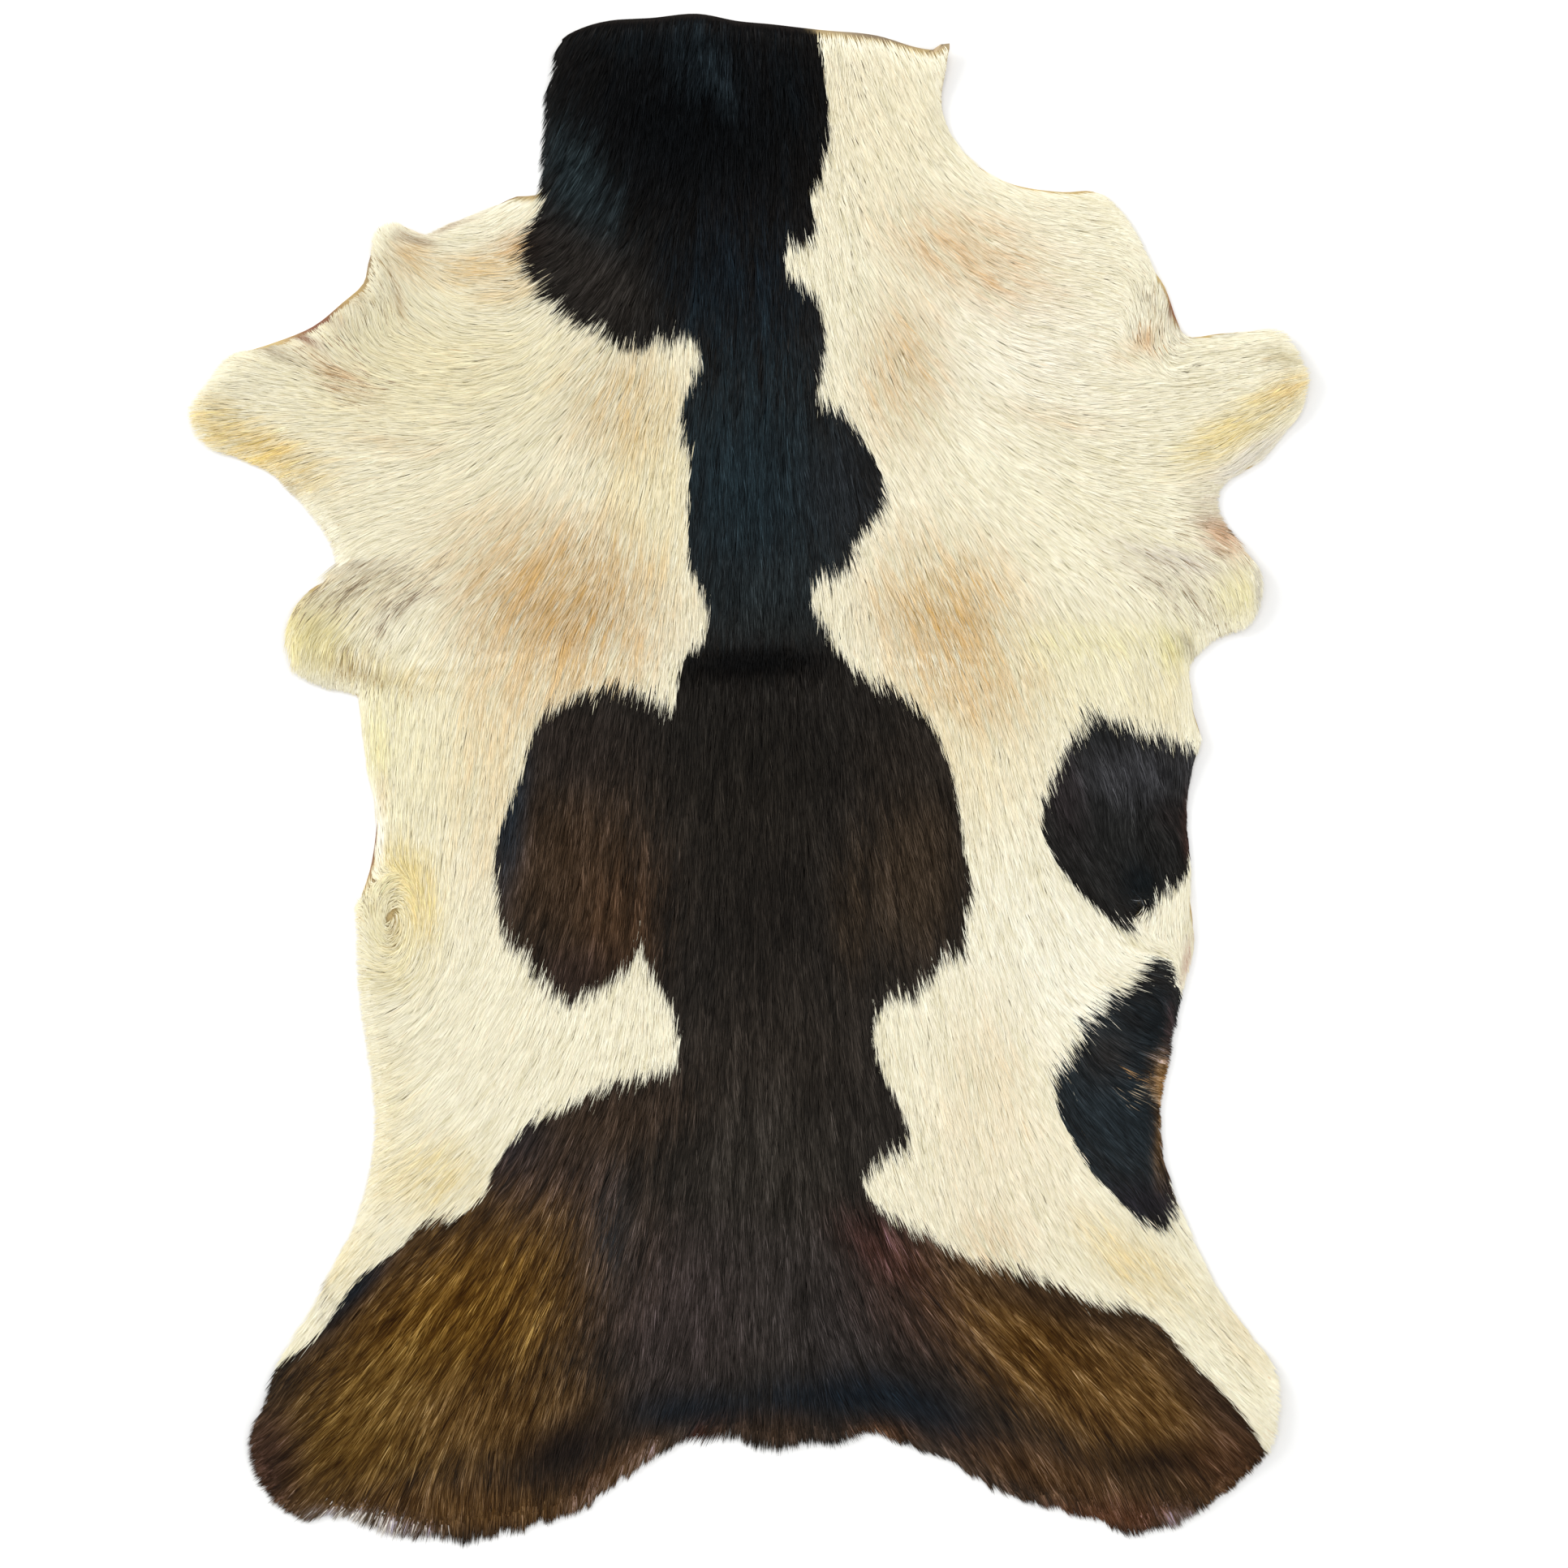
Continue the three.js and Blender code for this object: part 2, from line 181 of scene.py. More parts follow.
# Low lumps all over the coat
LUMP_HEIGHT = 0.8
LUMP_WAVE = 96.0
LUMP_SLANTS = (0.4, 0.3)

# Where the dried rim curls up off the floor: x, y, radius, lift
CURLS = [
    (-138, 474, 70, 9),  # left corner of the neck
    (147, 464, 72, 11),  # right corner of the neck
    (-222, 362, 58, 6),  # nub before the left foreleg
    (-372, 228, 70, 9),  # end of the left foreleg
    (374, 256, 70, 10),  # end of the right foreleg
    (-312, 86, 66, 10),  # left elbow flap
    (344, 118, 66, 10),  # right elbow flap
    (305, 24, 62, 6),  # right flank
    (-326, -380, 68, 7),  # front of the left hind leg
    (354, -392, 68, 8),  # end of the right hind leg
]

# Edges of the dark markings, where the hair's tips show them. Past the rim an outline runs
# anywhere outside the hide.
SADDLE = [
    # right side, from the neck to the waist
    (39, 480), (39, 470), (46, 450), (48, 430), (50, 410), (50, 397), (47, 377), (39, 361),
    (41, 349), (42, 336), (27, 330), (23, 317), (32, 305), (42, 299), (47, 280), (47, 260),
    (44, 245),
    (43, 235), (55, 229), (66, 219), (74, 206), (81, 192), (85, 179), (82, 166), (73, 157),
    (67, 146), (63, 134), (54, 127), (41, 122), (39, 109), (45, 99), (53, 85),
    # right side of the saddle
    (62, 72), (71, 64), (90, 57), (103, 47), (113, 35), (120, 20), (126, 5), (129, -12),
    (132, -30), (134, -45), (138, -65), (135, -80), (133, -95), (134, -108), (123, -106),
    (111, -120), (101, -133), (91, -131), (83, -138), (78, -147), (78, -161), (85, -180),
    (89, -192), (96, -206), (100, -220), (86, -230), (71, -247), (76, -258), (88, -268),
    # front edge of the right haunch
    (105, -277), (123, -287), (140, -295), (165, -301), (190, -310), (215, -321), (235, -323),
    (255, -337), (266, -351), (281, -366), (305, -392), (321, -417),
    # outside the lower edge
    (350, -440), (350, -500), (-350, -500), (-350, -380),
    # front edge of the left haunch
    (-293, -365), (-284, -357), (-267, -345), (-255, -332), (-245, -315), (-230, -300),
    (-210, -285), (-195, -270), (-180, -269), (-162, -257), (-157, -245), (-150, -230),
    (-140, -217), (-130, -208), (-110, -200), (-95, -192), (-80, -185), (-60, -180),
    # left side of the saddle
    (-44, -175), (-42, -165), (-43, -152), (-50, -135), (-57, -120), (-64, -109), (-67, -101),
    (-71, -112), (-80, -120), (-93, -127), (-110, -135), (-120, -128), (-130, -115),
    (-140, -103), (-149, -95), (-153, -75), (-155, -50), (-152, -30), (-145, -10), (-138, 5),
    (-135, 20), (-128, 37), (-115, 48), (-104, 54), (-90, 57), (-73, 57), (-60, 52), (-50, 45),
    # left side, from the waist to the neck
    (-44, 50), (-42, 65), (-38, 77), (-30, 83), (-24, 97), (-25, 110), (-31, 125), (-35, 135),
    (-36, 155), (-36, 180), (-35, 200), (-39, 215), (-40, 230), (-35, 245), (-27, 259),
    (-29, 267), (-35, 272), (-50, 272), (-60, 270), (-68, 264), (-78, 270), (-90, 279),
    (-103, 281), (-115, 290), (-125, 300), (-133, 312), (-138, 325), (-136, 335), (-128, 351),
    (-126, 360), (-133, 363), (-142, 405), (-142, 480),
]
FLANK_SPOT = [
    (212, 40), (240, 32), (260, 27), (277, 17), (300, 10), (300, -45), (272, -52), (267, -62),
    (257, -69), (249, -79), (241, -84), (235, -91), (227, -88), (217, -80), (207, -70),
    (200, -62), (190, -50), (185, -40), (181, -20), (190, 5), (195, 20), (205, 32),
]
THIGH_SPOT = [
    (259, -111), (263, -122), (268, -134), (290, -140), (290, -250), (262, -252), (265, -260),
    (257, -274), (245, -274), (230, -260), (215, -245), (202, -225), (192, -205), (188, -190),
    (195, -175), (202, -160), (212, -145), (227, -132), (242, -117), (252, -110),
]

# How the hair lies: x, y, and the way from root to tip in degrees from +X
STROKES = [
    # neck
    (10, 455, 270), (10, 400, 270), (-60, 440, 262), (-60, 395, 262), (-110, 450, 243),
    (-112, 405, 246), (-120, 370, 236), (-135, 330, 205), (-128, 300, 212), (-110, 285, 228),
    (-90, 330, 238), (-65, 350, 250), (-65, 270, 262), (-35, 265, 270), (-25, 330, 268),
    (45, 440, 278), (90, 440, 292), (95, 400, 297), (75, 360, 290), (50, 330, 284),
    (130, 385, 314),
    # left shoulder and foreleg
    (-143, 345, 212), (-165, 338, 186), (-180, 330, 182), (-195, 328, 168), (-205, 320, 142),
    (-218, 335, 120), (-228, 325, 125), (-232, 305, 128), (-217, 300, 112), (-222, 280, 97),
    (-240, 300, 155), (-245, 280, 98), (-262, 268, 135), (-285, 262, 160), (-248, 262, 135),
    (-200, 300, 133), (-188, 285, 150), (-160, 270, 178), (-150, 310, 180), (-110, 265, 228),
    (-210, 262, 165), (-250, 245, 165), (-280, 240, 176), (-320, 235, 181), (-335, 222, 183),
    (-310, 208, 196), (-285, 200, 200), (-250, 212, 184), (-215, 225, 177), (-180, 240, 180),
    (-150, 245, 200), (-120, 240, 222), (-95, 235, 240), (-75, 225, 252), (-55, 200, 262),
    (-265, 185, 203), (-245, 170, 200), (-210, 165, 196), (-180, 185, 205), (-150, 190, 222),
    (-120, 190, 240), (-90, 190, 250), (-60, 150, 262),
    # left elbow flap and side
    (-245, 140, 212), (-265, 118, 222), (-275, 100, 240), (-280, 80, 266), (-262, 75, 262),
    (-245, 100, 232), (-240, 70, 262), (-200, 130, 214), (-160, 140, 228), (-115, 110, 241),
    (-70, 105, 255), (-200, 85, 240), (-160, 80, 250), (-110, 75, 254), (-228, 35, 270),
    (-200, 30, 264), (-160, 30, 262), (-120, 10, 262), (-228, 0, 271), (-225, -30, 272),
    (-195, -20, 266), (-165, -30, 260), (-200, -60, 268), (-165, -80, 256), (-110, -50, 261),
    (-110, -110, 256), (-75, -60, 264), (-75, -120, 262),
    # left flank behind its whorl
    (-190, -100, 258), (-190, -130, 238), (-220, -130, 205), (-238, -120, 195), (-238, -150, 190),
    (-225, -160, 197), (-200, -160, 225), (-165, -140, 240), (-160, -180, 236), (-225, -195, 200),
    (-228, -215, 202), (-190, -200, 226), (-215, -240, 212), (-238, -265, 222), (-190, -250, 228),
    (-140, -195, 240), (-110, -175, 248), (-75, -170, 256), (-55, -150, 266),
    # left hind leg
    (-110, -225, 246), (-150, -260, 236), (-210, -300, 226), (-245, -300, 230), (-265, -330, 234),
    (-280, -365, 232), (-255, -370, 222), (-285, -400, 219), (-296, -425, 214), (-260, -410, 222),
    (-235, -430, 237), (-268, -445, 225), (-225, -380, 230), (-180, -340, 236), (-200, -400, 243),
    (-180, -450, 266), (-215, -455, 250), (-150, -380, 250), (-140, -430, 268), (-130, -300, 244),
    (-85, -410, 253), (-100, -370, 254), (-90, -280, 254), (-60, -320, 262), (-50, -395, 252),
    # backbone
    *[(10, y, 270) for y in range(350, -351, -50)], (10, -390, 270), (-25, 180, 267),
    (-25, 100, 268), (-35, 20, 266), (-35, -60, 266), (-35, -130, 266), (45, 180, 276),
    (45, 100, 276), (55, 20, 277), (60, -60, 278), (50, -130, 276), (50, -220, 276),
    (-35, -230, 264), (-25, -400, 242), (-5, -403, 264), (40, -400, 275), (70, -397, 298),
    # right shoulder and foreleg
    (90, 330, 302), (75, 260, 290), (130, 340, 318), (110, 290, 304), (150, 355, 330),
    (165, 325, 336), (190, 350, 344), (215, 345, 350), (200, 310, 348), (215, 318, 348),
    (235, 335, 335), (222, 300, 340), (238, 318, 320), (250, 306, 268), (240, 300, 282),
    (238, 285, 278), (247, 278, 262), (258, 292, 262), (252, 262, 300), (235, 262, 330),
    (215, 285, 352), (180, 280, 346), (140, 280, 326), (120, 240, 308), (150, 235, 324),
    (185, 235, 344), (215, 235, 0), (240, 240, 8), (265, 260, 10), (290, 262, 5),
    (320, 268, 2), (335, 262, 354), (300, 245, 6), (330, 250, 4), (342, 250, 6), (290, 228, 14),
    (320, 236, 25), (335, 234, 32), (315, 215, 26), (325, 208, 40), (300, 202, 36), (265, 230, 8),
    (250, 205, 2), (275, 190, 12), (220, 200, 346), (180, 195, 330), (140, 190, 313),
    (105, 195, 300), (95, 145, 292),
    # right elbow flap and side
    (255, 165, 344), (285, 170, 2), (240, 140, 330), (190, 150, 322), (130, 140, 298),
    (285, 145, 330), (300, 135, 305), (308, 115, 282), (290, 105, 288), (265, 110, 305),
    (225, 100, 306), (175, 100, 300), (130, 95, 293), (280, 88, 280), (250, 75, 290),
    (205, 60, 292), (160, 50, 288), (110, 75, 288), (262, 40, 278), (240, 25, 286), (215, 20, 290),
    (268, 0, 276), (190, 0, 286), (150, 0, 282), (235, -20, 274), (258, -22, 300), (265, -45, 285),
    (190, -45, 298), (215, -60, 300), (165, -50, 284), (115, -30, 280), (115, -90, 282),
    # right flank and hind leg
    (240, -95, 308), (228, -90, 306), (252, -88, 250), (265, -80, 262), (271, -95, 276),
    (268, -115, 272), (250, -100, 345), (240, -112, 350), (215, -100, 305), (175, -110, 290),
    (150, -150, 284), (255, -122, 348), (262, -135, 290), (235, -125, 338), (215, -140, 322),
    (200, -165, 302), (190, -190, 296), (150, -210, 284), (230, -170, 330), (250, -160, 335),
    (215, -205, 308), (246, -190, 345), (252, -215, 300), (256, -240, 292), (230, -230, 315),
    (215, -250, 311), (255, -268, 305), (180, -240, 296), (130, -240, 286), (100, -180, 280),
    (90, -270, 292), (120, -310, 306), (165, -280, 300), (165, -345, 314), (205, -300, 310),
    (240, -330, 316), (275, -320, 312), (240, -370, 313), (290, -360, 315), (300, -395, 316),
    (318, -385, 318), (275, -410, 312), (300, -430, 312), (190, -410, 302), (240, -445, 292),
    (265, -445, 300), (205, -440, 294), (150, -390, 306), (115, -395, 305), (90, -375, 308),
    (70, -340, 290), (150, -425, 300),
]

# Whorls, where the hair turns round a point: x, y, radius x, radius y, share of the turn
WHORLS = [
    (-218, -88, 21, 39, 1.0),
    (242, -76, 9, 10, 0.8),
]

# Tufts of the fringe that hang past the rest: x, y of the tip, radius, further reach
FRINGE = [
    (-29, -410, 6, 12), (-13, -408, 4, 5), (14, -412, 18, 4), (52, -410, 8, 3),
    (-242, -458, 3, 5), (-233, -462, 3, 5), (-225, -466, 4, 4), (-214, -468, 8, 4),
    (-175, -469, 10, 3), (-160, -468, 3, 5), (-135, -461, 4, 3), (-122, -457, 3, 4),
    (95, -411, 3, 4), (108, -416, 4, 3), (150, -440, 4, 3), (205, -456, 4, 3), (240, -466, 8, 4),
    (262, -462, 10, 3),
]

# Places with longer or shorter hair: x, y, radius x, radius y, length at the middle
LENGTHS = [
    (-30, 420, 130, 90, 14), (-300, 220, 60, 60, 14), (310, 240, 60, 60, 14),
    (-170, -420, 130, 70, 23), (210, -420, 130, 60, 23), (30, -390, 70, 40, 21),
    (-230, -60, 30, 70, 14), (255, -60, 25, 60, 14), (-235, 300, 30, 40, 13),
    (245, 300, 30, 40, 13), (-217, -88, 8, 12, 9), (242, -76, 5, 5, 7), (8, 80, 70, 15, 8),
    (-240, 66, 34, 9, 9), (255, -200, 9, 36, 9),
]

# Soft areas of colour in the light hair: x, y, radius x, radius y, turn, colour, share
CREAM_AREAS = [
    # paler and yellower grounds
    (-200, 250, 90, 50, 0, "#EEE6C4", 0.8), (-180, 170, 70, 50, 0, "#F3EDD4", 0.7),
    (-60, 180, 30, 70, 0, "#EDE3BE", 0.7), (-200, -130, 70, 80, 0, "#F1ECD5", 0.9),
    (190, -110, 60, 70, 0, "#F7F3E2", 0.9), (160, -245, 60, 60, 0, "#F3EBD4", 0.7),
    (-190, 10, 60, 60, 0, "#F1EBCB", 0.7), (170, 260, 60, 50, 0, "#F5F0DF", 0.8),
    (100, 190, 34, 60, 0, "#F4EED8", 0.7), (120, 20, 60, 50, 0, "#EEE2C0", 0.6),
    (190, 60, 60, 30, 0, "#F1EBCD", 0.7), (80, 400, 50, 60, 0, "#F2EAD0", 0.7),
    # tan stains of the shoulders, the neck and the back, and a painted shadow in the parting of the
    # left shoulder
    (-112, 108, 56, 46, 20, "#BF9342", 0.62), (-150, 135, 44, 36, 0, "#CFAF78", 0.35),
    (-96, 60, 40, 20, 20, "#D4B680", 0.45), (-78, 230, 34, 36, 0, "#CDAD70", 0.4),
    (122, 108, 46, 40, -20, "#CBA459", 0.5), (140, 62, 44, 30, -20, "#CCA566", 0.4),
    (140, 322, 52, 26, -20, "#D2AE7A", 0.45), (95, 250, 26, 44, 0, "#CCA768", 0.4),
    (188, 222, 34, 8, -10, "#DCC294", 0.2), (-162, 315, 40, 10, 6, "#D6B676", 0.45),
    (-136, 330, 20, 8, 10, "#CFA366", 0.5), (-145, 300, 24, 10, 10, "#DCC290", 0.35),
    # (-215, 296) is a painted shadow in the parting of the left shoulder
    (-208, 322, 14, 9, 20, "#DBBC84", 0.5), (-215, 296, 2.5, 11, 8, "#AD9062", 0.55),
    (-252, 248, 28, 9, -38, "#D4B48C", 0.35), (-214, 206, 34, 5, -8, "#D8C49E", 0.25),
    (-160, -10, 28, 60, 0, "#DDC69C", 0.3), (-150, 60, 30, 40, 0, "#DAC090", 0.35),
    (150, -290, 20, 26, 0, "#D6BA8C", 0.3), (150, -180, 30, 50, 0, "#E2CFA8", 0.25),
    # yellow of the legs, the elbow flaps and the flanks, with painted shadow lines in the creases
    # under the elbow flaps
    (-300, 202, 44, 15, -24, "#E2C984", 0.66), (-326, 222, 18, 14, 0, "#E6D296", 0.5),
    (316, 227, 42, 12, 28, "#E5D59E", 0.6), (332, 238, 14, 9, 40, "#E2CA90", 0.42),
    (290, 206, 30, 12, 24, "#E8D698", 0.55), (330, 260, 16, 6, -14, "#CEC4A0", 0.55),
    # (-232, 67), (-236, 68) and (-206, 61) are painted shade along the crease under the left elbow
    # flap
    (-268, 88, 24, 26, 0, "#E4DAA2", 0.8), (-232, 67, 30, 9, -18, "#D6C688", 0.55),
    (-236, 68, 22, 4, -20, "#A08040", 0.9), (-206, 61, 24, 4.5, 0, "#D9C28A", 0.45),
    (-262, 58, 22, 5, -16, "#DAD5BE", 0.65), (-225, 40, 16, 26, 0, "#EEE8C2", 0.6),
    (262, 80, 12, 14, 0, "#E0D898", 0.7), (215, 84, 50, 12, 0, "#EBE4B8", 0.5),
    # (272, 81) is a painted shadow line in the fold above the right elbow flap
    (302, 114, 14, 18, 0, "#ECE5B8", 0.7), (272, 81, 3.5, 9, 30, "#A29A82", 0.65),
    (-218, -84, 26, 38, 0, "#EFE6BE", 0.75), (-202, -74, 12, 32, 8, "#E6D498", 0.7),
    (-214, -50, 18, 9, -28, "#E6D698", 0.65), (-216, -90, 4, 15, -8, "#D6C390", 0.5),
    (-217, -88, 1.1, 8, -8, "#94784A", 0.75), (-222, -124, 22, 10, 0, "#EBE0B4", 0.5),
    (-230, 18, 10, 15, 0, "#E6E0B0", 0.5), (-225, -10, 4, 11, 0, "#E0CDA0", 0.5),
    (-230, -32, 6, 22, 4, "#FAF8F0", 0.8), (-195, -245, 34, 22, 0, "#E4D298", 0.5),
    (-225, -210, 20, 50, 0, "#F0E7C6", 0.5),
    (240, -300, 40, 16, -35, "#E4CF94", 0.5), (308, -342, 28, 16, -50, "#E9DCBA", 0.45),
    (-250, -300, 24, 16, 50, "#EADDB4", 0.5), (255, 50, 20, 20, 0, "#ECE3C0", 0.5),
    # greys and reddish browns, where the coat is thin near the rim, and painted shade in the folds
    # and between the locks of the elbow flaps
    (290, 160, 12, 26, 10, "#C4B29C", 0.5), (296, 148, 14, 9, -20, "#CFA27C", 0.65),
    # (258, 121) paints the shade between the locks of the right elbow flap as dark streaks
    (262, 136, 34, 8, -14, "#D6CEC0", 0.6), (258, 121, 32, 9, -28, "#8A7454", 0.14),
    (300, 151, 2, 3, 0, "#2B2724", 0.9), (315, 120, 3, 22, 0, "#B9B3A6", 0.6),
    (310, 198, 24, 7, 38, "#E4DFD4", 0.7),
    # (-238, 119) and (-212, 106) paint the shade between the locks of the left elbow flap as dark
    # streaks
    (-240, 114, 38, 14, 14, "#DBCEAC", 0.5), (-238, 119, 38, 8, 14, "#8A7250", 0.14),
    (-212, 106, 26, 7, 30, "#8E7756", 0.1), (-240, 131, 18, 2.5, 4, "#8A7358", 0.5),
    # (250, 294) is painted shade in the fold of the right shoulder point
    (263, 290, 3.5, 13, 12, "#8E604C", 0.85), (250, 294, 14, 3, -38, "#B4A688", 0.35),
    (247, 270, 9, 5, 40, "#D8B07C", 0.6), (236, 262, 12, 5, 40, "#DDC398", 0.45),
    (-278, 274, 22, 2.4, -24, "#94664F", 0.75), (-290, 263, 16, 5, -20, "#B4A68C", 0.6),
    (-255, 283, 14, 5, -34, "#B49C80", 0.35), (-243, 297, 8, 12, 0, "#C8BA9A", 0.5),
    # (-205, 332) is a painted shadow at the root of the nub
    (-205, 332, 12, 2.5, -12, "#9A7E5A", 0.7), (-186, 340, 22, 1.6, 22, "#A88C70", 0.5),
    (-284, 178, 8, 5, 40, "#B4A27C", 0.5), (272, -108, 2, 18, -12, "#B98E78", 0.6),
    (-262, -320, 30, 3, -60, "#6E655A", 0.5), (280, 274, 18, 2.2, 3, "#8E877C", 0.75),
]

# The same in the dark hair
DARK_AREAS = [
    # neck: near black; the bluish grey wedges at (-30, 444), (-21, 438) and (-102, 366) are painted
    # sheen
    (-35, 405, 140, 110, 0, "#080A0C", 1.0), (-30, 444, 26, 20, -66, "#151C20", 0.8),
    (-21, 438, 28, 8, -66, "#20292E", 0.75), (-60, 452, 40, 8, 0, "#0D1215", 0.6),
    (-102, 366, 40, 17, -65, "#242D30", 0.9), (28, 425, 16, 36, 0, "#0B1013", 0.6),
    (-94, 304, 42, 22, -45, "#2E2A26", 0.85), (-30, 308, 24, 34, 0, "#0E1317", 0.8),
    # between the shoulders: the bluish grey of the upper back and above the crease is partly
    # painted sheen on the dark hair
    (5, 290, 40, 50, 0, "#101920", 0.7), (0, 180, 70, 90, 0, "#1B262B", 0.95),
    (60, 180, 26, 34, 0, "#202326", 0.7), (10, 114, 60, 20, 0, "#22282A", 0.85),
    # crease across the back: a painted black shadow in the crease, and a painted sheen on the ridge
    # above it
    (4, 71, 56, 12, 3, "#000000", 1.0), (18, 94, 46, 9, 2, "#232626", 0.9),
    # back
    (5, 20, 90, 34, 0, "#171512", 0.9), (5, -35, 60, 60, 0, "#211D18", 0.85),
    (10, -100, 40, 60, 0, "#1C1814", 0.8), (-110, -60, 48, 62, 0, "#433222", 0.95),
    (-80, -95, 26, 44, 0, "#3F2B19", 0.8), (-108, 18, 42, 26, 0, "#2B241F", 0.85),
    (-146, -18, 11, 50, -6, "#20282F", 0.85), (-112, -120, 34, 16, 0, "#33261F", 0.8),
    (106, -55, 32, 58, 0, "#392D20", 0.9), (100, 12, 32, 26, 0, "#2A241E", 0.8),
    (66, -85, 14, 40, 0, "#2E2419", 0.7), (15, -170, 60, 45, 0, "#2C2620", 0.85),
    (15, -245, 55, 45, 0, "#322D27", 0.85), (0, -315, 80, 44, 0, "#352F2B", 0.9),
    # haunches
    (-50, -330, 44, 50, 0, "#3B322F", 0.8), (60, -335, 40, 40, 0, "#322D2B", 0.7),
    (115, -325, 46, 30, -20, "#43322A", 0.85), (88, -293, 34, 16, -35, "#4B2F28", 0.8),
    (-88, -282, 18, 40, 0, "#202A31", 0.9), (-90, -212, 54, 26, 15, "#3B2D21", 0.85),
    (-146, -226, 22, 26, 0, "#2B282B", 0.85), (-120, -250, 36, 22, 0, "#3A302C", 0.7),
    (-185, -340, 95, 56, 37, "#6B4814", 1.0), (-225, -398, 78, 42, 35, "#634516", 0.95),
    (-150, -395, 60, 30, 0, "#5E411B", 0.9), (-180, -450, 94, 16, 0, "#5C3E1A", 0.85),
    (-112, -412, 34, 18, 22, "#15100F", 0.95), (-80, -428, 36, 10, 35, "#5E4025", 0.8),
    (-296, -425, 18, 34, 0, "#442E22", 0.85), (-246, -318, 10, 44, -42, "#12191F", 0.95),
    (-30, -390, 52, 12, 0, "#0F1820", 0.9), (-22, -406, 12, 9, 0, "#3E2818", 0.8),
    (14, -402, 34, 10, 0, "#3A2A1C", 0.8), (66, -380, 58, 14, 0, "#0D151C", 0.95),
    (118, -396, 46, 11, -28, "#131B22", 0.9), (82, -405, 20, 7, 0, "#54361D", 0.8),
    (185, -355, 80, 34, -38, "#64441A", 1.0), (245, -385, 74, 40, -40, "#62431B", 0.95),
    (190, -430, 60, 14, -18, "#5A3D1F", 0.85), (200, -326, 64, 11, -15, "#3A2918", 0.8),
    (256, -420, 36, 12, 0, "#120C0A", 0.9), (232, -456, 60, 9, 0, "#5A371F", 0.85),
    (298, -420, 26, 26, 0, "#50341D", 0.8), (285, -380, 32, 12, -45, "#34251A", 0.7),
    (-240, -459, 26, 5, -6, "#B4ABA0", 0.85), (-212, -467, 20, 4, 0, "#9A8A7E", 0.7),
    (268, -458, 14, 5, 0, "#94867A", 0.5), (-32, -412, 6, 8, 0, "#4A2416", 0.7),
    (150, -440, 60, 4, -24, "#6A5038", 0.5), (-80, -432, 40, 4, 38, "#7A6248", 0.5),
    # right flank and thigh
    # the violet grey at (240, 3) is painted sheen on the dark flank spot
    (230, -20, 70, 80, 0, "#212120", 1.0), (240, 3, 36, 17, 0, "#434346", 0.85),
    (264, -22, 12, 10, 0, "#2B2321", 0.6), (196, -10, 12, 30, 10, "#2D2627", 0.5),
    (243, -64, 14, 14, 0, "#090F12", 0.9), (271, -34, 2.5, 22, 0, "#48322A", 0.8),
    (215, 28, 26, 9, -10, "#222425", 0.7), (243, -75, 1, 1.4, 0, "#A9AEB2", 0.9),
    (235, -195, 70, 70, 0, "#1F262A", 1.0), (222, -172, 16, 14, 40, "#2E2A27", 0.7),
    (252, -150, 10, 24, 0, "#11181C", 0.7), (245, -262, 34, 12, 0, "#232126", 0.8),
    (257.5, -206, 3.8, 34, -4, "#85602F", 0.9), (256.5, -187, 5, 13, 0, "#AE8450", 0.85),
    (262, -155, 1.8, 18, -4, "#4A3836", 0.7), (260.5, -240, 2.6, 22, 10, "#5C4434", 0.75),
    (-135, 325, 10, 12, 0, "#1E1712", 0.8),
]

# Single hairs that stand out from those round them, in the same form. The darker ones on the elbow
# flaps, the shoulders and in the crease under the left elbow flap are painted shade between locks
# and in folds; the paler ones on the right thigh spot and at the fringe are the hair's own colour.
STRAY_HAIRS_AND_LOCK_SHADE = [
    (-242, 121, 40, 8, 14, "#8E7A60", 0.17), (-214, 108, 30, 9, 30, "#94806A", 0.13),
    (-226, 96, 24, 10, 40, "#AC9A7C", 0.08), (256, 122, 36, 11, -28, "#9A886C", 0.13),
    (274, 146, 22, 14, -14, "#A08A6C", 0.12), (250, 300, 12, 20, 30, "#B8A88C", 0.06),
    (246, 272, 10, 12, 40, "#B89468", 0.1), (-225, 296, 12, 26, 0, "#A8946E", 0.1),
    (-262, 270, 40, 8, -32, "#9A7A60", 0.12), (-236, 68, 26, 6, -20, "#9A7C44", 0.16),
    (-250, 248, 24, 8, -38, "#A88A64", 0.12),
    (240, -193, 15, 5, -18, "#A4967E", 0.1), (236, -182, 10, 5, -20, "#A8845A", 0.08),
    (-238, -455, 18, 4, -6, "#D5CEC4", 0.6), (-208, -463, 12, 4, 0, "#B8AEA4", 0.4),
]

# Blushes of the bare skin along the rim, in the same form
SKIN_BLUSH = [
    (-270, 284, 40, 16, -28, "#9A6A58", 1.0), (264, 290, 8, 14, 0, "#96644F", 1.0),
    (-233, -34, 8, 30, 0, "#8E6052", 1.0), (272, -34, 6, 24, 0, "#8A4A34", 1.0),
    (272, -110, 6, 22, -12, "#B08470", 0.8), (85, 462, 60, 9, -10, "#8F857E", 1.0),
    (-164, 352, 40, 8, 24, "#8C7A68", 0.9), (-235, 320, 8, 16, 0, "#A8967E", 0.8),
]

# Steps along an outline and pitches of the grids
COARSE_STEP, FINE_STEP = 6.0, 4.0
COARSE_PITCH, FINE_PITCH = 4.0, 2.0

